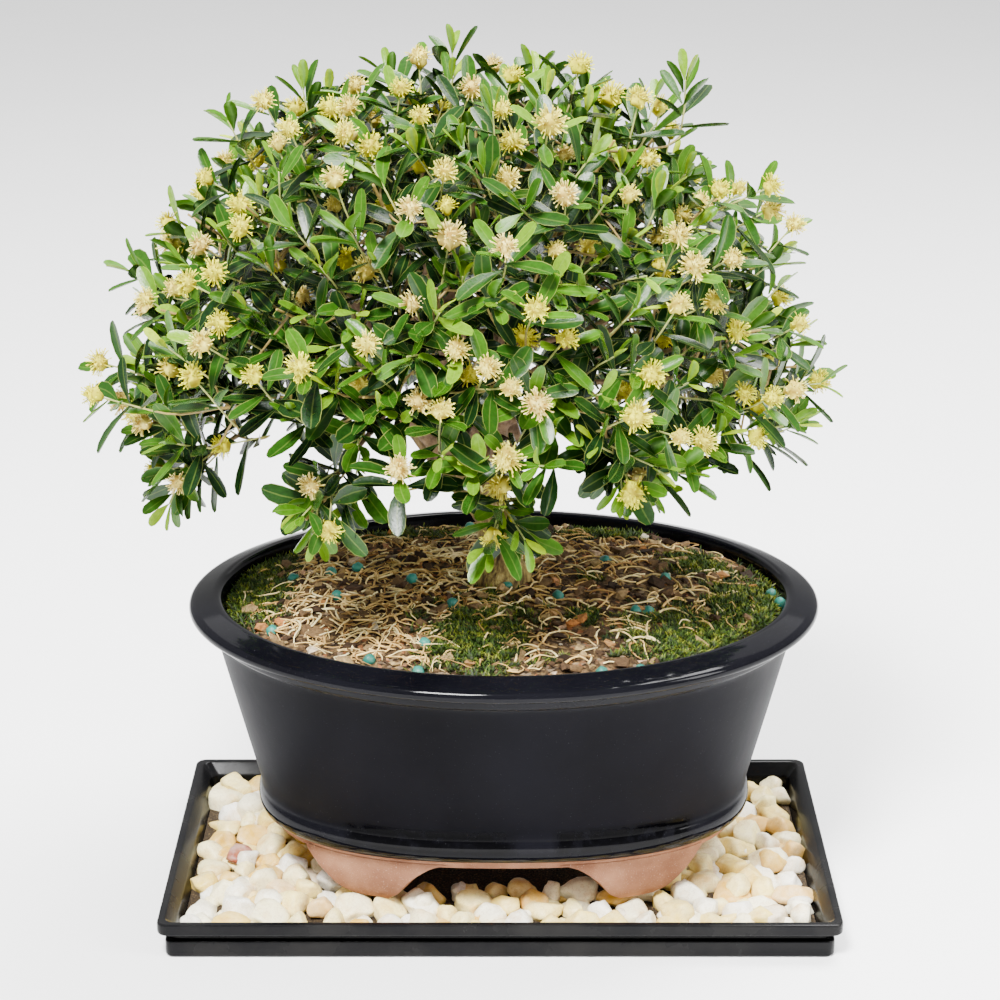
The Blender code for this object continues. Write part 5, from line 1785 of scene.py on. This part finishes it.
def flowers(targets, draw):
    """Move the nearest front shoots to where flower heads were seen, and say how wide each is."""
    radii = [0.0] * len(targets)
    near = [(camera.location - place).dot(facing) > 0.1 * DISTANCE for place, facing in targets]
    pixels = [Vector(seen_from(place)) for place, facing in targets]
    for index, (place, facing) in enumerate(targets):
        if not near[index] and how_far_out(place) > INSIDE_SHARE and draw.random() < BLOOM_SHARE:
            radii[index] = draw.uniform(*BLOOM_RADIUS)
    free = {index for index in range(len(targets) - len(SPRIGS)) if near[index]}
    for spots, large in ((LARGE_BLOOMS_SEEN, True), (BLOOMS_SEEN, False)):
        for column, row in spots:
            spot = Vector((column, row))
            index = min(free, key=lambda other: (pixels[other].xy - spot).length
                        + DEPTH_WEIGHT * (pixels[other].z - DISTANCE))
            place, facing = targets[index]
            if (pixels[index].xy - spot).length > SEARCH_PIXELS:
                continue
            free.remove(index)
            ray = seen_at(column, row, place.z) - camera.location
            across = camera.location + ray * ((pixels[index].z - BLOOM_STAND) / -(ray @ CAMERA_BACK))
            across.y = max(across.y, FRONT_EDGE)
            targets[index] = (across, facing)
            heads_seen.append(Vector(seen_from(across)))
            radii[index] = LARGE_BLOOM_RADIUS if large else draw.uniform(*BLOOM_RADIUS)
    return radii

# %% [markdown]
# ## One shoot
# A shoot could be a copied twig, but then all would look alike. Here each grows by the rule of the
# plant: leaves stand in crossed pairs, each pair turned a quarter from the last.

# %% Grow one shoot
class SprayPoints:
    """The points of one spray that the growth rule reads: stems, leaves and flower heads."""

    def __init__(self, draw):
        self.draw = draw
        self.points = []
        self.edges = []

    def add(self, place, kind, turn=(0, 0, 0), size=(1, 1, 1), form=0, tint=0.5, thick=1.0):
        self.points.append({"place": tuple(place), "turn": tuple(turn), "size": tuple(size),
                            "form": form, "kind": kind, "tint": tint, "thick": thick})
        return len(self.points) - 1

    def add_stem(self, path, thick_start, thick_end, tint_start, tint_end):
        before = None
        for index, point in enumerate(path):
            share = index / (len(path) - 1)
            here = self.add(point, 0, tint=tint_start + share * (tint_end - tint_start),
                            thick=thick_start + share * (thick_end - thick_start))
            if before is not None:
                self.edges.append((before, here))
            before = here

    def add_leaf(self, place, along, upper, length, tint):
        across = along.cross(upper).normalized()
        upper = across.cross(along).normalized()
        turn = Matrix((across, along, upper)).transposed().to_euler()
        width = length * self.draw.uniform(0.86, 1.18)
        self.add(place, 1, turn, (width, length, length), self.draw.randrange(LEAF_FORMS), tint)

    def add_bloom(self, place, direction, radius, tint):
        turn = direction.to_track_quat("Z", "Y").to_euler()
        form = self.draw.randrange(len(BLOOM_KINDS))
        self.add(place, 2, turn, (radius, radius, radius), form, tint)

    def add_shoot(self, root, target, facing, vigour, bloom):
        """A stem from the root to the target, with pairs of leaves over its last stretch."""
        draw = self.draw
        nodes = 5 if vigour > 0.3 else 4
        bare = target - facing * NODE_SPACING * nodes
        middle = root.lerp(bare, 0.55) + Vector((0, 0, -1.5 * MM))
        self.add_stem(smooth_path((root, middle, bare, target), 2), 1.0, 0.55, 0.1, 1.0)
        side, up = frame_along(facing)
        first = draw.uniform(0, math.pi)
        flowering = bloom > 0
        for node in range(nodes):
            if node == 0 and flowering:
                continue
            point = target - facing * NODE_SPACING * node
            angle = math.radians(LEAF_ANGLES[node] + draw.uniform(-9, 9) + (12 if flowering else 0))
            for half in (0, math.pi):
                if node > 1 and draw.random() < 0.12:
                    continue
                turn = first + node * math.pi / 2 + half + draw.uniform(-0.3, 0.3)
                out = spoke(turn, side, up)
                along = spoke(angle, facing, out)
                upper = facing * 1.0 + Vector((0, 0, 0.55)) + 0.2 * out
                length = LEAF_LENGTHS[node] * draw.uniform(0.85, 1.15) * MM
                young = 0.79 - 0.22 * node + draw.uniform(-0.16, 0.16) + 0.40 * (vigour - 0.6)
                if not hides_head(point, along, length):
                    self.add_leaf(point + out * 0.4 * MM, along, upper, length, clamp(young))
        if flowering:
            old = draw.choice((0.0, 0.0, 0.1, 0.2, 0.4, 0.6, 0.9))
            self.add_bloom(target + facing * 0.2 * bloom, facing, bloom, old)

# %% [markdown]
# ## From points to a spray
# The shoots are only points until now. One rule makes tubes of the stems and sets a leaf or a flower
# head on each point that asks for one, so a whole spray becomes one mesh.

# %% The rule that makes a spray of its points
def spray_rule():
    rule = Growth("spray", {
        "Leaf forms": "Collection", "Bloom forms": "Collection", "Stem radius": "Float",
        "Leaf": "Material", "Bloom": "Material", "Stem": "Material"
    })
    given, turn = rule.given, rule.turn()
    parts = [rule.realised(rule.tube(5, given["Stem radius"]), given["Stem"])]
    for kind, forms, material in ((1, "Leaf forms", "Leaf"), (2, "Bloom forms", "Bloom")):
        chosen = rule.add(
            "FunctionNodeCompare", {"A": rule.mark("kind", "INT"), "B": kind},
            data_type="INT", operation="EQUAL"
        )
        placed = rule.placed(
            given["Geometry"], forms, turn, rule.mark("size", "FLOAT_VECTOR"),
            {"Selection": chosen, "Instance Index": rule.mark("form", "INT")}
        )
        parts.append(rule.realised(placed, given[material]))
    together = rule.add("GeometryNodeJoinGeometry")
    for part in reversed(parts):
        rule.tree.links.new(part, together.node.inputs[0])
    rule.close(together)
    return rule


# %% Grow the sprays
def nearest_on(start, end, point):
    """How far along a line the place nearest to a point lies, from 0 to 1."""
    ahead = end - start
    return clamp((point - start).dot(ahead) / ahead.length_squared)


def plan_sprays():
    draw = random.Random(17)
    sprays = [SprayPoints(draw) for _ in lines]
    for spray, origin, (start, end) in zip(sprays, origins, lines):
        stem = smooth_path((start, start.lerp(end, 0.45), start.lerp(end, 0.8)), 3)
        spray.add_stem(stem, 1.9, 0.9, 0.0, 0.5)
    targets = shoot_targets(draw)
    blooms = flowers(targets, draw)
    print("shoots:", len(targets), "flower heads:", sum(bloom > 0 for bloom in blooms))
    for (target, facing), bloom in zip(targets, blooms):
        owner = min(range(len(lines)), key=lambda index: (
            lines[index][0].lerp(lines[index][1], nearest_on(*lines[index], target)) - target
        ).length)
        start, end = lines[owner]
        share = clamp(nearest_on(start, end, target) - 0.28, 0.0, 0.8)
        high = clamp((target.z - LOW_LEAVES) / (HIGH_LEAVES - LOW_LEAVES))
        # Shoots deep inside the crown get so low a vigour that their leaves take the darkest tint:
        # painted shade inside the crown as well as older leaves.
        vigour = -1.2 if how_far_out(target) < INSIDE_SHARE else draw.uniform(0.35, 0.6 + 0.4 * high)
        sprays[owner].add_shoot(start.lerp(end, share), target, facing, vigour, bloom)
    return sprays


leaf_draw = random.Random(14)
leaf_forms = make_forms("leaf", [leaf_mesh(leaf_draw) for _ in range(LEAF_FORMS)])
bloom_forms = make_forms("bloom", [bloom_mesh(*kind, leaf_draw) for kind in BLOOM_KINDS])
spray = spray_rule()
finishes = {"Leaf": leaf_green(), "Bloom": bloom_finish(), "Stem": stem_finish()}
for number, plan in enumerate(plan_sprays(), start=1):
    piece = spray.harvest(
        f"leafy_spray_{number:02d}", make_carrier("spray_points", plan.points, plan.edges),
        Leaf_forms=leaf_forms, Bloom_forms=bloom_forms, Stem_radius=0.45 * MM, **finishes
    )
    hand_over(piece, "leaf_green", f"spray_{number:02d}")
clear_forms(leaf_forms)
clear_forms(bloom_forms)

# %% [markdown]
# ## The drainage screens
# Two squares of plastic mesh lie over the drainage holes. Their solids have the right shape already,
# so they only get a finish.


# %% Screen finish
def screen_plastic():
    finish = Finish("screen_plastic", Roughness=0.5)
    tone = finish.ramp(finish.noise(500.0), (0.4, 0.022), (0.7, 0.05))
    return finish.done(tone, finish.noise(1500.0), 0.05 * MM)


mesh_plastic = screen_plastic()
for side in ("left", "right"):
    screen = frame["nodes"][f"drain_screen_{side}"]
    for place in screen.material_slots:
        place.material = mesh_plastic
print("drainage screens have their finish")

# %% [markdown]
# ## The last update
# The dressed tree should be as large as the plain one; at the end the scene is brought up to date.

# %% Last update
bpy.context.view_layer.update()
